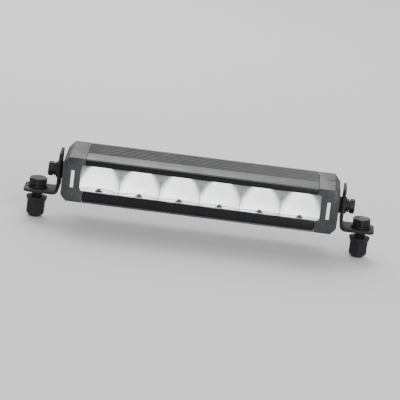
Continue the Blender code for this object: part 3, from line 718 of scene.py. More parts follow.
def new_group(name: str, inputs: dict[str, tuple[str, object]], outputs: Sequence[str]) -> Shader:
    """Starts a shader node group whose outputs are masks.

    Args:
        name: the group's name.
        inputs: for each input, the end of its socket type and its value.
        outputs: the names of the masks that it puts out.

    Returns:
        The helper for the group's nodes.
    """
    group = bpy.data.node_groups.new(name, "ShaderNodeTree")
    for label, (kind, value) in inputs.items():
        socket = group.interface.new_socket(label, in_out="INPUT", socket_type=f"NodeSocket{kind}")
        socket.default_value = value
    for label in outputs:
        group.interface.new_socket(label, in_out="OUTPUT", socket_type="NodeSocketFloat")
    return Shader(group)


def grain_group() -> bpy.types.NodeTree:
    """A fine grain, a coarser cloud over it, and both as a height."""
    shader = new_group(
        "Surface Grain",
        {
            "Scale": ("Float", 1000.0),
            "Stretch": ("Vector", (1.0, 1.0, 1.0)),
            "Cloud Scale": ("Float", 60.0),
        },
        ("Grain", "Cloud", "Height"),
    )
    given = shader.node("NodeGroupInput", {}).outputs
    where = shader.place()
    drawn = shader.node(
        "ShaderNodeVectorMath", {0: where, 1: given["Stretch"]}, operation="MULTIPLY"
    )
    fine = shader.noise(drawn.outputs[0], given["Scale"], detail=3.0, rough=0.6)
    cloud = shader.noise(where, given["Cloud Scale"], detail=4.0, rough=0.55)
    masks = {
        "Grain": shader.mask(fine, low=0.33, high=0.67),
        "Cloud": shader.mask(cloud, low=0.30, high=0.70),
        "Height": shader.blend(fine, cloud, share=0.85),
    }
    shader.node("NodeGroupOutput", masks)
    return shader.tree


def wear_group() -> bpy.types.NodeTree:
    """A mask of the rounded edges, broken up so that the finish is rubbed only in places."""
    shader = new_group(
        "Edge Wear", {"Amount": ("Float", 0.5), "Scale": ("Float", 220.0)}, ("Mask",)
    )
    given = shader.node("NodeGroupInput", {}).outputs
    edge = shader.node("ShaderNodeAttribute", {}, attribute_name=EDGE)
    patches = shader.noise(shader.place(), given["Scale"], detail=5.0, rough=0.65)
    broken = shader.mask(patches, low=0.42, high=0.66)
    rubbed = shader.math("MULTIPLY", edge.outputs["Fac"], broken)
    shader.node("NodeGroupOutput", {"Mask": shader.math("MULTIPLY", rubbed, given["Amount"])})
    return shader.tree


def dust_group() -> bpy.types.NodeTree:
    """A mask of the thin dust that settles on faces that look up when the lamp is level."""
    shader = new_group(
        "Settled Dust", {"Amount": ("Float", 0.1), "Scale": ("Float", 90.0)}, ("Mask",)
    )
    given = shader.node("NodeGroupInput", {}).outputs
    place = shader.node("ShaderNodeTexCoord", {}).outputs
    facing = shader.node("ShaderNodeSeparateXYZ", {0: place["Normal"]})
    upward = shader.mask(facing.outputs["Z"], low=0.55, high=0.98)
    drift = shader.noise(place["Object"], given["Scale"], detail=6.0, rough=0.7)
    spread = shader.mask(drift, low=0.35, high=0.75)
    lying = shader.math("MULTIPLY", upward, spread)
    shader.node("NodeGroupOutput", {"Mask": shader.math("MULTIPLY", lying, given["Amount"])})
    return shader.tree


@dataclass(frozen=True)
class Effects:
    """The effects that several finishes share."""

    grain: bpy.types.NodeTree
    wear: bpy.types.NodeTree
    dust: bpy.types.NodeTree


# ------------------------------------------------------------------------------ finishes
DUST_COLOUR = (0.42, 0.41, 0.39)
DUST_ROUGHNESS = 0.5  # how much rougher full dust makes a surface
GRAIN_SHARE = 0.6  # the grain's share in the mix of a finish's two colours


def new_material(name: str) -> tuple[bpy.types.Material, Shader]:
    """A node material with a Principled BSDF, and the helper for its nodes."""
    material = bpy.data.materials.new(name)
    material.use_nodes = True
    return material, Shader(material.node_tree)


@dataclass(frozen=True)
class Coated:
    """A solid surface: metal, a coat on metal, moulded plastic or rubber."""

    name: str
    colour: Colour
    deeper: Colour
    roughness: tuple[float, float]
    metallic: float = 0.0
    grain: float = 1500.0
    stretch: Triple = (1.0, 1.0, 1.0)
    relief: float = 0.00002
    strength: float = 0.3
    worn: Colour = (0.4, 0.4, 0.41)
    wear: float = 0.0
    dust: float = 0.0
    specular: float = 0.5
    # painted shade: the colour of the faces that the shade attribute marks
    shaded: Colour | None = None
    # painted glow: an emission on a part that is no lamp
    glow: float = 0.0

    def build(self, effects: Effects) -> bpy.types.Material:
        """Makes the material.

        Args:
            effects: the shared effects.

        Returns:
            The material.
        """
        material, shader = new_material(self.name)
        grain = shader.effect(effects.grain, {"Scale": self.grain, "Stretch": self.stretch})
        wear = shader.effect(effects.wear, {"Amount": self.wear}).outputs["Mask"]
        dust = shader.effect(effects.dust, {"Amount": self.dust}).outputs["Mask"]
        blend = shader.blend(grain.outputs["Grain"], grain.outputs["Cloud"], GRAIN_SHARE)
        colour = shader.mix(blend, self.colour, self.deeper)
        # Painted shade, where the piece's shade attribute marks it.
        if self.shaded is not None:
            shade = shader.node("ShaderNodeAttribute", {}, attribute_name=PAINTED_SHADE)
            colour = shader.mix(shade.outputs["Fac"], colour, self.shaded)
        colour = shader.mix(wear, colour, self.worn)
        colour = shader.mix(dust, colour, DUST_COLOUR)
        rough = shader.span(grain.outputs["Cloud"], *self.roughness)
        dusted = shader.math("MULTIPLY", dust, DUST_ROUGHNESS)
        shader.join(
            shader.surface,
            {
                "Base Color": colour,
                "Roughness": shader.math("ADD", rough, dusted),
                "Normal": shader.bump(grain.outputs["Height"], self.relief, self.strength),
                "Metallic": self.metallic,
                "Specular IOR Level": self.specular,
            },
        )
        # Painted glow: the surface gives off its own colour, though it is no lamp.
        if self.glow > 0:
            glow = {"Emission Color": colour, "Emission Strength": self.glow}
            shader.join(shader.surface, glow)
        return material


@dataclass(frozen=True)
class ClearSheet:
    """A clear pane that lets the lights through."""

    name: str
    index: float
    tint: Colour = (0.99, 0.995, 1.0)
    ripple: float = 25.0
    ripple_height: float = 5e-6
    ripple_strength: float = 0.1
    roughness: tuple[float, float] = (0.01, 0.035)

    def build(self, effects: Effects) -> bpy.types.Material:
        """Makes the material. A faint ripple in the pane comes from the shared grain.

        Args:
            effects: the shared effects.

        Returns:
            The material.
        """
        material, shader = new_material(self.name)
        grain = shader.effect(effects.grain, {"Scale": self.ripple}).outputs
        ripple = shader.bump(grain["Grain"], self.ripple_height, self.ripple_strength)
        shader.join(
            shader.surface,
            {
                "Normal": ripple,
                "Roughness": shader.span(grain["Cloud"], *self.roughness),
                "Base Color": (*self.tint, 1.0),
                "Transmission Weight": 1.0,
                "IOR": self.index,
            },
        )
        path = shader.node("ShaderNodeLightPath", {})
        through = shader.node("ShaderNodeBsdfTransparent", {})
        mixed = shader.node(
            "ShaderNodeMixShader",
            {
                0: path.outputs["Is Shadow Ray"],
                1: shader.surface.outputs[0],
                2: through.outputs[0],
            },
        )
        shader.join(shader.tree.nodes["Material Output"], {"Surface": mixed.outputs[0]})
        return material


@dataclass(frozen=True)
class CircuitBoard:
    """A board with solder mask, and tracks that show faintly through it."""

    name: str
    mask: Colour
    track: Colour
    cell: float = 0.0042
    cell_shape: float = 1.8
    track_share: float = 0.07
    track_height: float = 3e-5
    track_strength: float = 0.4
    cloud_tone: float = 0.88
    grain: float = 900.0
    roughness: tuple[float, float] = (0.28, 0.42)
    coat: float = 0.3

    def build(self, effects: Effects) -> bpy.types.Material:
        """Makes the material.

        Args:
            effects: the shared effects.

        Returns:
            The material.
        """
        material, shader = new_material(self.name)
        bricks = shader.node(
            "ShaderNodeTexBrick",
            {
                "Vector": shader.place(),
                "Scale": 1.0,
                "Brick Width": self.cell * self.cell_shape,
                "Row Height": self.cell,
                "Mortar Size": self.cell * self.track_share,
            },
        )
        tracks = bricks.outputs["Fac"]
        grain = shader.effect(effects.grain, {"Scale": self.grain}).outputs
        darker = tuple(part * self.cloud_tone for part in self.mask)
        tint = shader.mix(grain["Cloud"], self.mask, darker)
        shader.join(
            shader.surface,
            {
                "Base Color": shader.mix(tracks, tint, self.track),
                "Roughness": shader.span(grain["Grain"], *self.roughness),
                "Normal": shader.bump(tracks, self.track_height, self.track_strength),
                "Coat Weight": self.coat,
            },
        )
        return material


Finish = Coated | ClearSheet | CircuitBoard


# The darker colour that it takes on the fin tops is painted shade.
ANODISED = Coated(
    "satin anodised aluminium", (0.085, 0.087, 0.090), (0.058, 0.059, 0.062), (0.36, 0.50),
    metallic=0.55, grain=1400.0, stretch=(0.02, 1.0, 1.0), strength=0.35, worn=(0.30, 0.305, 0.31),
    wear=0.25, dust=0.08, shaded=(0.034, 0.035, 0.037),
)
CAST = Coated(
    "fine textured cast cap", (0.045, 0.046, 0.048), (0.005, 0.006, 0.007), (0.40, 0.58),
    metallic=0.15, grain=750.0, relief=0.00016, strength=0.8, worn=(0.26, 0.26, 0.27), wear=0.30,
    dust=0.10,
)
BEZEL = Coated(
    "gloss black bezel", (0.010, 0.010, 0.011), (0.006, 0.006, 0.007), (0.20, 0.32), grain=300.0,
    relief=0.000004, strength=0.15, specular=0.16,
)
# The reflector is no lamp, so its glow is painted light; its darker colour at the bowls' upper
# corners is painted shade.
PAINTED_GLOW_MIRROR = Coated(
    "vacuum metallised reflector", (0.98, 0.982, 0.985), (0.94, 0.945, 0.95), (0.16, 0.26),
    metallic=0.30, grain=260.0, relief=0.00001, strength=0.12, shaded=(0.085, 0.087, 0.09),
    glow=0.85,
)
# The flat fronts between the bowls are satin grey; how much darker they are than the bowls is
# painted shade, for the light that doesn't reach them.
FRONT_IN_PAINTED_SHADE = Coated(
    "satin grey reflector front", (0.30, 0.305, 0.31), (0.22, 0.225, 0.23), (0.34, 0.46),
    metallic=0.5, grain=900.0, relief=0.00001, strength=0.2,
)
RUBBER = Coated(
    "black rubber", (0.020, 0.020, 0.020), (0.012, 0.012, 0.012), (0.68, 0.86), grain=1800.0,
    relief=0.00004, strength=0.4, specular=0.3,
)
MOULDED = Coated(
    "fine moulded black", (0.018, 0.018, 0.019), (0.011, 0.011, 0.012), (0.42, 0.56), grain=2400.0,
    relief=0.00003, strength=0.4, worn=(0.06, 0.06, 0.062), wear=0.5, dust=0.08,
)
BLACK_ZINC = Coated(
    "black zinc plated steel", (0.022, 0.022, 0.024), (0.010, 0.010, 0.012), (0.36, 0.54),
    metallic=0.30, grain=1100.0, relief=0.00003, strength=0.4, worn=(0.16, 0.157, 0.154),
    wear=0.40, dust=0.03, specular=0.22,
)
POWDER = Coated(
    "black powder coat", (0.018, 0.018, 0.019), (0.009, 0.009, 0.010), (0.50, 0.66), grain=1000.0,
    relief=0.00008, strength=0.6, worn=(0.10, 0.10, 0.10), wear=0.35, dust=0.03, specular=0.16,
)
BRASS = Coated(
    "turned brass", (0.62, 0.48, 0.20), (0.50, 0.37, 0.14), (0.25, 0.40), metallic=1.0,
    grain=1200.0, stretch=(0.1, 1.0, 1.0),
)
FERRITE = Coated("ferrite core", (0.05, 0.05, 0.055), (0.03, 0.03, 0.034), (0.5, 0.65))
CAN = Coated(
    "drawn aluminium can", (0.60, 0.61, 0.63), (0.48, 0.49, 0.51), (0.22, 0.36), metallic=0.9,
)
PAD = Coated("soft filled silicone", (0.42, 0.44, 0.47), (0.34, 0.36, 0.39), (0.75, 0.9))
INLAY = Coated(
    "white inlay", (0.86, 0.86, 0.85), (0.76, 0.76, 0.75), (0.30, 0.42), grain=900.0,
    relief=0.000008, strength=0.2,
)
CERAMIC = Coated(
    "dark chip base", (0.018, 0.018, 0.019), (0.009, 0.009, 0.010), (0.55, 0.70), specular=0.12,
)
PHOSPHOR = Coated(
    "yellow phosphor", (0.14, 0.11, 0.03), (0.09, 0.07, 0.02), (0.45, 0.6), specular=0.2,
)
CLEAR = ClearSheet("clear hard coated lens", 1.49)
DOME = ClearSheet("smoked silicone dome", 1.12, (0.05, 0.045, 0.035))
WHITE_BOARD = CircuitBoard("white board", (0.82, 0.83, 0.83), (0.68, 0.69, 0.70))
GREEN_BOARD = CircuitBoard("green board", (0.022, 0.135, 0.058), (0.05, 0.24, 0.10))


class Wardrobe:
    """The materials, each made once, when it is first asked for."""

    def __init__(self) -> None:
        """Makes the shared effects."""
        self.effects = Effects(grain_group(), wear_group(), dust_group())
        self.made: dict[str, bpy.types.Material] = {}

    def get(self, finish: Finish) -> bpy.types.Material:
        """The material of a finish.

        Args:
            finish: the finish.

        Returns:
            Its material.
        """
        if finish.name not in self.made:
            self.made[finish.name] = finish.build(self.effects)
        return self.made[finish.name]


@dataclass
class Workshop:
    """What every sub-assembly needs: the materials, the trees, and the way a piece is entered."""

    wardrobe: Wardrobe = field(default_factory=Wardrobe)
    placed: GeometryTree = field(default_factory=placed_tree)
    ring: GeometryTree = field(default_factory=ring_tree)
    thread: GeometryTree = field(default_factory=thread_tree)
    bowls: GeometryTree = field(default_factory=bowl_tree)

    def enter(
        self,
        piece: bpy.types.Object,
        body: Body,
        finish: Finish | None,
        slot: str,
        stands_for: Sequence[str] = (),
    ) -> None:
        """Dresses a piece, puts it on its body and hides the CAD nodes that it replaces.

        Args:
            piece: the object.
            body: the body that it rides on.
            finish: what it is dressed in, or nothing where its tree has dressed it.
            slot: a material slot's name, which is not used.
            stands_for: the CAD nodes that it replaces.
        """
        if finish is not None:
            piece.data.materials.clear()
            piece.data.materials.append(self.wardrobe.get(finish))
        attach(piece, body.value)
        if stands_for:
            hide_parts(*stands_for)
        LOG.info("%s: %d faces on %s", piece.name, len(piece.data.polygons), body.value)

    def keep(self, node: str, finish: Finish) -> None:
        """Keeps a CAD node's shape and gives it a better material.

        Args:
            node: the node's name.
            finish: what it is dressed in.
        """
        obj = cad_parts[node]
        for holder in obj.material_slots:
            holder.material = self.wardrobe.get(finish)
        LOG.info("%s: kept", node)

    def refine(
        self, node: str, body: Body, finish: Finish, slot: str, width: float
    ) -> bpy.types.Object:
        """Replaces a CAD node with a copy whose edges are rounded.

        Args:
            node: the node's name.
            body: the body that it rides on.
            finish: what it is dressed in.
            slot: the record's material slot.
            width: the width of the rounding.

        Returns:
            The piece.
        """
        piece = copy_of_node(node, f"{node}_fine")
        soften(piece, width)
        self.enter(piece, body, finish, slot, (node,))
        return piece

    def scatter(
        self,
        name: str,
        pattern: bpy.types.Object,
        spots: Sequence[Vector],
        turn: Vector,
        finish: Finish,
    ) -> bpy.types.Object:
        """Puts a copy of a pattern at each spot, and discards the pattern.

        Args:
            name: the new piece's name.
            pattern: what is copied.
            spots: where the copies go.
            turn: how each is turned.
            finish: the finish of the copies.

        Returns:
            The piece that holds all the copies.
        """
        bm = bmesh.new()
        for spot in spots:
            bm.verts.new(spot)
        piece = mesh_object(name, bm)
        values = {"Piece": pattern, "Turn": turn, "Finish": self.wardrobe.get(finish)}
        self.placed.apply_to(piece, values)
        discard(pattern)
        return piece

    def circle(
        self, name: str, pattern: bpy.types.Object, count: int, radius: float, finish: Finish
    ) -> bpy.types.Object:
        """Sets copies of a pattern in a ring round the Z axis, and discards the pattern.

        Args:
            name: the new piece's name.
            pattern: what is copied. Its X axis comes to point out.
            count: how many copies there are.
            radius: the ring's radius.
            finish: the finish of the copies.

        Returns:
            The piece that holds all the copies.
        """
        piece = mesh_object(name, bmesh.new())
        dress = self.wardrobe.get(finish)
        values = {"Piece": pattern, "Count": count, "Radius": radius, "Finish": dress}
        self.ring.apply_to(piece, values)
        discard(pattern)
        return piece


# ------------------------------------------------------------------------------ the lamp's shell
@dataclass
class Shell:
    """The housing, its two end caps and the strips above and below the window."""

    shop: Workshop
    collar: float = 0.0189
    body_rounding: float = 0.00022
    cap_rounding: float = 0.00045
    strip_rounding: float = 0.00030
    mark_width: float = 0.0024
    mark_height: float = 0.0130
    mark_from_end: float = 0.0082
    mark_lift: float = 0.0005
    mark_sink: float = 0.00045
    mark_thickness: float = 0.00030
    mark_play: float = 0.0001
    mark_gap: float = 0.00002
    mark_rounding: float = 0.00008
    cutter_reach: float = 0.001
    slant_across: float = 0.0027
    slant_back: float = 0.0016

    def build(self) -> None:
        """Builds every piece of the shell."""
        housing = self.shop.refine(
            "housing_extrusion", Body.LAMP, ANODISED, "anodised_aluminium", self.body_rounding
        )
        box = Box.of("housing_extrusion")
        # The tops of the fins take painted shade, darker than the rest of the housing.
        fins_start = box.low.y + self.collar
        crest = box.high.z - self.body_rounding
        shade_where(housing, lambda middle: middle.y > fins_start and middle.z > crest)
        for strip in ("bezel_strip_top", "bezel_strip_bottom"):
            self.shop.refine(strip, Body.LAMP, BEZEL, "gloss_black_bezel", self.strip_rounding)
        for side in Side:
            self.cap(side)
            self.shop.keep(f"end_gasket_{side.label}", RUBBER)
        self.shop.keep("lens_gasket", RUBBER)

    def mark_box(self, side: Side, play: float = 0.0) -> tuple[Vector, Vector]:
        """The room of the white inlay in a cap's front.

        Args:
            side: which cap.
            play: how much larger the room is than the inlay.

        Returns:
            Its lowest and highest corners, from the cap's front face inwards.
        """
        cap = Box.of(f"end_cap_{side.label}")
        x = cap.end(side) - side.value * self.mark_from_end
        z = cap.centre.z + self.mark_lift
        half = Vector((self.mark_width / 2 + play, 0, self.mark_height / 2 + play))
        middle = Vector((x, cap.low.y, z))
        return middle - half, middle + half

    def slant(self, side: Side) -> bmesh.types.BMesh:
        """What is cut away along a cap's outer front edge.

        Args:
            side: which cap.

        Returns:
            The cutter, which reaches past the cap above, below and in front.
        """
        cap = Box.of(f"end_cap_{side.label}")
        outer = cap.end(side)
        inner_end = Vector((outer - side.value * self.slant_across, cap.low.y))
        outer_end = Vector((outer, cap.low.y + self.slant_back))
        beyond = (outer_end - inner_end) / 2
        start, end = inner_end - beyond, outer_end + beyond
        corners = (tuple(start), tuple(end), (end.x, start.y))
        clear = self.slant_across
        return prism(corners, cap.low.z - clear, cap.high.z + clear)

    def cap(self, side: Side) -> None:
        """Builds one end cap, with its outer front edge slanted and a plain white inlay let in.

        Args:
            side: which cap.
        """
        node = f"end_cap_{side.label}"
        piece = copy_of_node(node, f"{node}_fine")
        cut(piece, self.slant(side))
        low, high = self.mark_box(side, self.mark_play)
        before, behind = Vector((0, self.cutter_reach, 0)), Vector((0, self.mark_sink, 0))
        cut(piece, block(low - before, high + behind))
        soften(piece, self.cap_rounding)
        self.shop.enter(piece, Body.LAMP, CAST, "textured_cast_cap", (node,))
        low, high = self.mark_box(side)
        back = Vector((0, self.mark_sink - self.mark_gap, 0))
        front = Vector((0, back.y - self.mark_thickness, 0))
        bar = mesh_object(f"cap_inlay_{side.label}", block(low + front, high + back))
        soften(bar, self.mark_rounding)
        self.shop.enter(bar, Body.LAMP, INLAY, "textured_cast_cap")


# ------------------------------------------------------------------------------ the optics
@dataclass
class Optics:
    """The lens, the reflector bowls and the LEDs."""

    shop: Workshop
    cells: int = 6
    focal_length: float = 0.0085
    mouth: float = 0.0200
    ceiling: float = 0.0206
    # the width at a bowl's top that is left free of painted shade
    lit_top: float = 0.0036
    side_gap: float = 0.00014
    sheet: float = 0.00013
    crease: float = 28.0
    led_base: float = 0.0007
    base_rounding: float = 0.0001
    collar: float = 0.0031
    collar_drop: float = 0.00028
    collar_thickness: float = 0.00024
    die: float = 0.0020
    die_gap: float = 0.00002
    die_thickness: float = 0.00015
    dome_share: float = 0.41
    dome_foot: float = 0.00025
    dome_headroom: float = 0.0003
    dome_steps: int = 9
    dome_sides: int = 32
    lens_rounding: float = 0.00025

    def build(self) -> None:
        """Builds every piece of the optics."""
        self.shop.refine("lens", Body.LAMP, CLEAR, "clear_lens", self.lens_rounding)
        self.reflectors()
        self.leds()
        self.shop.keep("led_board", WHITE_BOARD)
        self.shop.keep("thermal_pad", PAD)

    def reflectors(self) -> None:
        """Builds the six bowls as one row."""
        first = Box.of("reflector_1")
        last = Box.of(f"reflector_{self.cells}")
        pitch = (last.centre.x - first.centre.x) / (self.cells - 1)
        piece = mesh_object("reflector_bowls", bmesh.new())
        self.shop.bowls.apply_to(
            piece,
            {
                "Half Width": pitch / 2 - self.side_gap,
                "Mouth": self.mouth,
                "Ceiling": self.ceiling,
                "Focal Length": self.focal_length,
                "Depth": self.mouth**2 / (4 * self.focal_length),
                "Pitch": pitch,
                "Lit Top": self.lit_top,
                "Count": self.cells,
                "Finish": self.shop.wardrobe.get(PAINTED_GLOW_MIRROR),
                "Front Finish": self.shop.wardrobe.get(FRONT_IN_PAINTED_SHADE),
            },
        )
        piece.data.transform(Matrix.Translation((0, first.low.y, first.low.z)))
        piece.data.shade_smooth()
        piece.data.set_sharp_from_angle(angle=math.radians(self.crease))
        wall = piece.modifiers.new("wall", "SOLIDIFY")
        wall.thickness = self.sheet
        wall.offset = 1.0
        applied(piece)
        nodes = [f"reflector_{i + 1}" for i in range(self.cells)]
        self.shop.enter(piece, Body.LAMP, None, "vacuum_metallised", nodes)

    def row(
        self,
        name: str,
        pattern: bpy.types.Object,
        spots: Sequence[Vector],
        finish: Finish,
        slot: str = "led_package",
        stands_for: Sequence[str] = (),
    ) -> None:
        """Enters copies of a pattern, one at each spot, as one piece on the lamp."""
        piece = self.shop.scatter(name, pattern, spots, Vector((0, 0, 0)), finish)
        self.shop.enter(piece, Body.LAMP, finish, slot, stands_for)

    def leds(self) -> None:
        """Builds the chip bases, the discs under them, their phosphor and their domes."""
        nodes = [f"led_{i + 1}" for i in range(self.cells)]
        seats = []
        for node in nodes:
            seat = Box.of(node)
            seats.append(Vector((seat.centre.x, seat.centre.y, seat.low.z)))
        side, _, rise = Box.of(nodes[0]).size
        half = Vector((side / 2, side / 2, 0))
        base = mesh_object("base_pattern", block(-half, half + Vector((0, 0, self.led_base))))
        soften(base, self.base_rounding)
        self.row("led_bases", base, seats, CERAMIC, stands_for=nodes)

        under = Vector((0, 0, -self.collar_drop))
        rows = [level(self.collar, 0), level(self.collar, self.collar_thickness)]
        disc = mesh_object("disc_pattern", turned(rows))
        self.row("led_collars", disc, [seat + under for seat in seats], CERAMIC)

        lift = Vector((0, 0, self.led_base + self.die_gap))
        half = Vector((self.die / 2, self.die / 2, 0))
        thick = Vector((0, 0, self.die_thickness))
        die = mesh_object("die_pattern", block(lift - half, lift + half + thick))
        self.row("led_phosphor", die, seats, PHOSPHOR)

        radius = side * self.dome_share
        height = rise - self.led_base - self.dome_headroom
        foot = self.led_base + self.dome_foot
        rows = [level(radius, foot)]
        for i in range(1, self.dome_steps):
            angle = math.radians(90) * i / self.dome_steps
            rows.append(level(radius * math.cos(angle), foot + height * math.sin(angle)))
        dome = mesh_object("dome_pattern", turned(rows, sides=self.dome_sides))
        dome.data.shade_smooth()
        self.row("led_domes", dome, seats, DOME, "clear_lens")


# ------------------------------------------------------------------------------ the driver
@dataclass
class Driver:
    """The board behind the reflectors and the parts on it."""

    shop: Workshop

    def build(self) -> None:
        """Dresses the CAD nodes of the driver, whose shapes are right."""
        finishes = {
            "driver_board": GREEN_BOARD,
            "driver_inductor": FERRITE,
            "driver_capacitor_1": CAN,
            "driver_capacitor_2": CAN,
            "driver_chip": MOULDED,
        }
        for node, finish in finishes.items():
            self.shop.keep(node, finish)


# ------------------------------------------------------------------------------ rear fittings
@dataclass
class RearFittings:
    """The cable gland and the breather vent in the rear wall."""

    shop: Workshop
    small_rounding: float = 0.00020
    large_rounding: float = 0.00025
    ribs: int = 18
    rib_low: Triple = (-0.0003, -0.0003, -0.0016)
    rib_high: Triple = (0.0, 0.0003, -0.0002)
    rib_sink: float = 0.00002
    rib_back: float = 0.0008

    def build(self) -> None:
        """Builds the gland and the vent."""
        small, large = self.small_rounding, self.large_rounding
        self.shop.refine("cable_gland_body", Body.LAMP, MOULDED, "black_moulding", small)
        self.shop.refine("cable_gland_nut", Body.LAMP, MOULDED, "black_moulding", large)
        self.shop.refine("cable_seal", Body.LAMP, RUBBER, "black_rubber", small)
        self.shop.refine("breather_vent", Body.LAMP, MOULDED, "black_moulding", large)
        self.vent_ribs()

    def vent_ribs(self) -> None:
        """Builds the short ribs round the rim of the vent."""
        vent = Box.of("breather_vent")
        rib = mesh_object("rib_pattern", block(Vector(self.rib_low), Vector(self.rib_high)))
        radius = vent.size.x / 2 - self.rib_sink
        piece = self.shop.circle("vent_ribs", rib, self.ribs, radius, MOULDED)
        backwards = Matrix.Rotation(math.radians(-90), 4, "X")
        place = Matrix.Translation((vent.centre.x, vent.high.y - self.rib_back, vent.centre.z))
        piece.data.transform(place @ backwards)
        self.shop.enter(piece, Body.LAMP, MOULDED, "black_moulding")


# ------------------------------------------------------------------------------ fasteners
STEEL = (BLACK_ZINC, "black_zinc_steel")
HEX_RIM = 0.94  # the rim of a hexagon's chamfer, as a share of half its flats
HEX_SLOPE = math.tan(math.radians(30))
WASHER_FACE = 0.0003
DISH_RIM = 0.80  # the rim of the dish in a head's top, as a share of the chamfer's rim
DISH_FLOOR = 0.76
DISH_DEPTH = 0.00015


def hex_head_rows(flats: float, height: float) -> list[Row]:
    """The rows of a hex head that stands on Z = 0, with a washer face and a turned chamfer.

    Args:
        flats: its width across flats.
        height: its height.

    Returns:
        The rows, from the washer face to the top.
    """
    half = flats / 2
    rim = half * HEX_RIM
    return [
        level(rim, 0),
        level(rim, WASHER_FACE),
        hexagon(half, WASHER_FACE),
        hexagon(half, height - (half - rim) * HEX_SLOPE, drop=HEX_SLOPE, rim=half),
        level(rim, height),
        level(rim * DISH_RIM, height),
        level(rim * DISH_FLOOR, height - DISH_DEPTH),
    ]


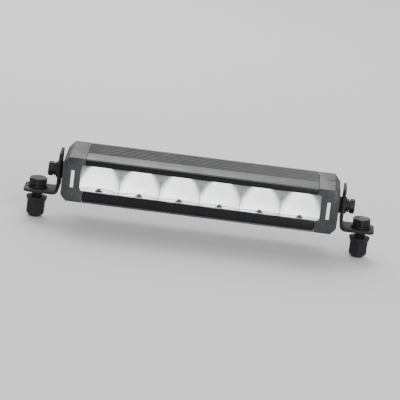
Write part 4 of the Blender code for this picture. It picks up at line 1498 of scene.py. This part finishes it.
@dataclass
class Fasteners:
    """The bolts, washers, nuts and cap screws."""

    shop: Workshop
    rounding: float = 0.00016
    spring_rounding: float = 0.00012
    washer_width: float = 0.0030
    foot_flats: float = 0.0130
    foot_head: float = 0.0053
    foot_pitch: float = 0.00125
    foot_plain: float = 0.0045
    foot_runout: float = 0.0004
    foot_tip: float = 0.0008
    foot_tip_share: float = 0.8
    thread_depth: float = 0.00055
    thread_ridge: float = 0.0005
    thread_start: float = 0.0006
    side_flats: float = 0.0100
    side_head: float = 0.0040
    side_shank: float = 0.0030
    side_tip: float = 0.0024
    side_chamfer: float = 0.0006
    nut_flats: float = 0.0130
    nut_play: float = 0.0003
    nut_roof: float = 0.0012
    nut_flange: float = 0.0032
    nut_flange_rim: float = 0.25
    nut_flange_root: float = 1.10
    nut_step: float = 0.0001
    nut_dome: float = 0.0028
    nut_shoulder: float = 0.0003
    nut_profile: tuple[tuple[float, float], ...] = ((0.88, 0.38), (0.70, 0.72), (0.42, 0.93))
    nut_tip: float = 0.12
    nut_sharpness: float = 38.0
    flange_teeth: int = 28
    tooth_low: Triple = (-0.0011, -0.0003, -0.0008)
    tooth_high: Triple = (0.0, 0.0003, -0.0001)
    cap_screw_count: int = 4
    screw_core: float = 0.0015
    screw_tip: float = 0.0012
    screw_chamfer: float = 0.0004
    screw_head: float = 0.0030
    screw_shoulder: float = 0.88
    screw_top: float = 0.92
    screw_socket: float = 0.0025
    screw_socket_floor: float = 0.45
    screw_rounding: float = 0.0001
    screw_sharpness: float = 50.0
    screw_sides: int = 36

    def build(self) -> None:
        """Builds every fastener."""
        for side in Side:
            self.foot_bolt(side)
            self.foot_nut(side)
            self.washer(f"foot_washer_{side.label}", side.body, "Z", side)
            self.side_bolt(side)
            self.washer(f"flat_washer_{side.label}", Body.LAMP, "X", side)
            self.washer(f"friction_washer_{side.label}", Body.LAMP, "X", side)
            spring = f"spring_washer_{side.label}"
            self.shop.refine(spring, Body.LAMP, *STEEL, self.spring_rounding)
            self.shop.keep(f"side_insert_{side.label}", BRASS)
            self.cap_screws(side)

    def turn(
        self, node: str, body: Body, rows: Sequence[Row], place: Matrix, angle: float = 32.0
    ) -> None:
        """Turns a steel piece, rounds its edges and enters it in a node's place.

        Args:
            node: the CAD node that it replaces.
            body: the body that it rides on.
            rows: its rows.
            place: where it goes.
            angle: edges sharper than this are rounded, in degrees.
        """
        piece = mesh_object(f"{node}_fine", turned(rows))
        soften(piece, self.rounding, angle=angle)
        piece.data.transform(place)
        self.shop.enter(piece, body, *STEEL, (node,))

    def foot_bolt(self, side: Side) -> None:
        """Builds one foot bolt, with a thread where it shows in the panel's space.

        Args:
            side: which end of the bar.
        """
        node = f"foot_bolt_{side.label}"
        box = Box.of(node)
        seat = box.high.z - self.foot_head
        shank = self.shank_radius(node)
        root = shank - self.thread_depth
        length = seat - box.low.z
        rows = [
            level(root * self.foot_tip_share, -length),
            level(root, -length + self.foot_tip),
            level(root, -self.foot_plain),
            level(shank, -self.foot_plain + self.foot_runout),
            level(shank, 0),
            *hex_head_rows(self.foot_flats, self.foot_head),
        ]
        place = Matrix.Translation((box.centre.x, box.centre.y, seat))
        self.turn(node, side.body, rows, place)

        thread = mesh_object(f"foot_thread_{side.label}", bmesh.new())
        run = length - self.foot_plain - self.foot_tip
        self.shop.thread.apply_to(
            thread,
            {
                "Turns": run / self.foot_pitch,
                "Radius": shank - self.thread_ridge,
                "Length": run,
                "Ridge": self.thread_ridge,
                "Finish": self.shop.wardrobe.get(BLACK_ZINC),
            },
        )
        thread.data.shade_smooth()
        start = Matrix.Translation((0, 0, -length + self.thread_start))
        thread.data.transform(place @ start)
        self.shop.enter(thread, side.body, *STEEL)

    def shank_radius(self, node: str) -> float:
        """Half a vertical bolt's width near its tip, which is its shank.

        Args:
            node: the bolt's node.

        Returns:
            The radius.
        """
        box = Box.of(node)
        reach = 0.0
        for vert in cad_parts[node].data.vertices:
            if vert.co.z < box.centre.z:
                reach = max(reach, abs(vert.co.x - box.centre.x))
        return reach

    def foot_nut(self, side: Side) -> None:
        """Builds one domed nut with a toothed flange, its hole open upwards.

        Args:
            side: which end of the bar.
        """
        node = f"foot_nut_{side.label}"
        box = Box.of(node)
        flange = box.size.x / 2
        half = self.nut_flats / 2
        hole = self.shank_radius(f"foot_bolt_{side.label}") + self.nut_play
        height = box.size.z
        barrel = -height + self.nut_dome
        dome = [
            level(half * width, barrel - self.nut_dome * drop)
            for width, drop in self.nut_profile
        ]
        rows = [
            level(hole, barrel + self.nut_roof),
            level(hole, 0),
            level(flange, 0),
            level(flange, -self.nut_flange * self.nut_flange_rim),
            level(half * self.nut_flange_root, -self.nut_flange),
            hexagon(half, -self.nut_flange - self.nut_step),
            hexagon(half, barrel, drop=-HEX_SLOPE, rim=half),
            level(half * HEX_RIM, barrel - self.nut_shoulder),
            *dome,
            level(half * self.nut_tip, -height),
        ]
        place = Matrix.Translation((box.centre.x, box.centre.y, box.high.z))
        self.turn(node, side.body, rows, place, angle=self.nut_sharpness)

        shape = block(Vector(self.tooth_low), Vector(self.tooth_high))
        tooth = mesh_object("tooth_pattern", shape)
        name = f"nut_teeth_{side.label}"
        teeth = self.shop.circle(name, tooth, self.flange_teeth, flange, BLACK_ZINC)
        teeth.data.transform(place)
        self.shop.enter(teeth, side.body, *STEEL)

    def washer(self, node: str, body: Body, axis: str, side: Side) -> None:
        """Builds one flat washer with softened edges.

        Args:
            node: the CAD node that it replaces.
            body: the body that it rides on.
            axis: the axis that it lies across.
            side: which end of the bar.
        """
        box = Box.of(node)
        finish, slot = (RUBBER, "black_rubber") if node.startswith("friction") else STEEL
        outer = box.size.y / 2
        inner = outer - self.washer_width
        thickness = box.size.z if axis == "Z" else box.size.x
        rows = washer_rows(inner, outer, thickness)
        piece = mesh_object(f"{node}_fine", turned(rows, ring=True))
        soften(piece, self.rounding)
        piece.data.transform(Matrix.Translation((0, 0, -thickness / 2)))
        if axis == "X":
            piece.data.transform(side.outwards)
        piece.data.transform(Matrix.Translation(box.centre))
        self.shop.enter(piece, body, finish, slot, (node,))

    def side_bolt(self, side: Side) -> None:
        """Builds the bolt that clamps one bracket to its cap.

        Args:
            side: which end of the bar.
        """
        node = f"side_bolt_{side.label}"
        box = Box.of(node)
        length = box.size.x - self.side_head
        rows = [
            level(self.side_tip, -length),
            level(self.side_shank, -length + self.side_chamfer),
            level(self.side_shank, 0),
            *hex_head_rows(self.side_flats, self.side_head),
        ]
        seat = box.end(side) - side.value * self.side_head
        place = Matrix.Translation((seat, box.centre.y, box.centre.z))
        self.turn(node, Body.LAMP, rows, place @ side.outwards)

    def cap_screws(self, side: Side) -> None:
        """Builds the four socket screws of one cap as one piece.

        Args:
            side: which end of the bar.
        """
        nodes = [f"cap_screw_{side.label}_{i + 1}" for i in range(self.cap_screw_count)]
        first = Box.of(nodes[0])
        head = first.size.z / 2
        length = first.size.x - self.screw_head
        socket = self.screw_socket / 2
        rows = [
            level(self.screw_tip, -length),
            level(self.screw_core, -length + self.screw_chamfer),
            level(self.screw_core, 0),
            level(head, 0),
            level(head, self.screw_head * self.screw_shoulder),
            level(head * self.screw_top, self.screw_head),
            hexagon(socket, self.screw_head),
            hexagon(socket, self.screw_head * self.screw_socket_floor),
        ]
        screw = mesh_object("screw_pattern", turned(rows, sides=self.screw_sides))
        soften(screw, self.screw_rounding, segments=1, angle=self.screw_sharpness)
        spots = []
        for box in map(Box.of, nodes):
            x = box.end(side) - side.value * self.screw_head
            spots.append(Vector((x, box.centre.y, box.centre.z)))
        turn = Vector((0, side.value * math.radians(90), 0))
        piece = self.shop.scatter(f"cap_screws_{side.label}", screw, spots, turn, BLACK_ZINC)
        self.shop.enter(piece, Body.LAMP, *STEEL, nodes)


# ------------------------------------------------------------------------------ the brackets
@dataclass
class Brackets:
    """The two bent plates that hold the lamp."""

    shop: Workshop
    rounding: float = 0.00030

    def build(self) -> None:
        """Builds both brackets."""
        for side in Side:
            self.shop.refine(
                f"bracket_{side.label}", side.body, POWDER, "powder_coated_bracket", self.rounding
            )


# ------------------------------------------------------------------------------ the studio
@dataclass(frozen=True)
class SoftLight:
    """A square soft light."""

    name: str
    place: Triple
    power: float
    size: float = 1.2

    def hang(self, target: Vector) -> None:
        """Hangs the light.

        Args:
            target: what it points at.
        """
        data = bpy.data.lights.new(self.name, "AREA")
        data.size = self.size
        data.energy = self.power
        obj = bpy.data.objects.new(self.name, data)
        place = Vector(self.place)
        facing = (target - place).to_track_quat("-Z", "Y").to_matrix().to_4x4()
        obj.matrix_world = Matrix.Translation(place) @ facing
        bpy.context.scene.collection.objects.link(obj)


@dataclass
class Studio:
    """The pale floor, the soft lights and the camera."""

    elevation: float = 15.5
    yaw: float = 0.9
    roll: float = 7.0
    distance: float = 2.0
    nearest: float = 0.05
    fill: float = 0.88
    sensor: float = 36.0
    floor_size: float = 8.0
    floor_drop: float = 0.0001
    floor_tones: tuple[float, float] = (0.66, 0.63)
    floor_cloud: float = 3.0
    floor_roughness: float = 0.9
    floor_specular: float = 0.1
    room_light: float = 0.62
    lights: tuple[SoftLight, ...] = (
        SoftLight("overhead softbox", (-0.20, 0.75, 0.95), 18.0),
        SoftLight("front softbox", (0.5, -1.6, 0.8), 34.0),
    )

    def build(self) -> None:
        """Sets the stage."""
        low, high = (Vector(corner) for corner in CAD_BOX)
        centre = (low + high) / 2
        self.floor(low.z)
        self.camera(centre, (high - low).x)
        for light in self.lights:
            light.hang(centre)
        self.sky()

    def floor(self, height: float) -> None:
        """Lays the floor.

        Args:
            height: the height of the object's lowest point.
        """
        bm = bmesh.new()
        bmesh.ops.create_grid(bm, x_segments=4, y_segments=4, size=self.floor_size / 2)
        bm.transform(Matrix.Translation((0, 0, height - self.floor_drop)))
        obj = mesh_object("studio_floor", bm)
        material, shader = new_material("pale floor")
        links = {"Vector": shader.place(), "Scale": self.floor_cloud}
        cloud = shader.node("ShaderNodeTexNoise", links)
        tones = ((tone, tone, tone) for tone in self.floor_tones)
        shader.join(
            shader.surface,
            {
                "Base Color": shader.mix(cloud.outputs[0], *tones),
                "Roughness": self.floor_roughness,
                "Specular IOR Level": self.floor_specular,
            },
        )
        obj.data.materials.append(material)

    def camera(self, centre: Vector, width: float) -> None:
        """Sets up the camera.

        Args:
            centre: what it looks at.
            width: the object's width, which takes up a set share of the frame.
        """
        data = bpy.data.cameras.new("camera")
        data.sensor_width = self.sensor
        data.lens = self.sensor * self.distance * self.fill / width
        data.clip_start = self.nearest
        obj = bpy.data.objects.new("camera", data)
        rise = math.radians(self.elevation)
        turn = math.radians(self.yaw)
        away = Vector(
            (math.sin(turn) * math.cos(rise), -math.cos(turn) * math.cos(rise), math.sin(rise))
        )
        look = (-away).to_track_quat("-Z", "Y").to_matrix().to_4x4()
        tilt = Matrix.Rotation(math.radians(self.roll), 4, "Z")
        obj.matrix_world = Matrix.Translation(centre + away * self.distance) @ look @ tilt
        bpy.context.scene.collection.objects.link(obj)
        bpy.context.scene.camera = obj

    def sky(self) -> None:
        """Fills the room with even pale light."""
        world = bpy.data.worlds.new("room")
        world.use_nodes = True
        background = world.node_tree.nodes["Background"]
        background.inputs["Color"].default_value = (1.0, 1.0, 1.0, 1.0)
        background.inputs["Strength"].default_value = self.room_light
        bpy.context.scene.world = world


def main() -> None:
    """Builds the light bar and the studio round it."""
    logging.basicConfig(level=logging.INFO, format="%(message)s")
    shop = Workshop()
    for part in (
        Shell(shop),
        Optics(shop),
        Driver(shop),
        RearFittings(shop),
        Fasteners(shop),
        Brackets(shop),
        Studio(),
    ):
        part.build()


if __name__ == "__main__":
    main()
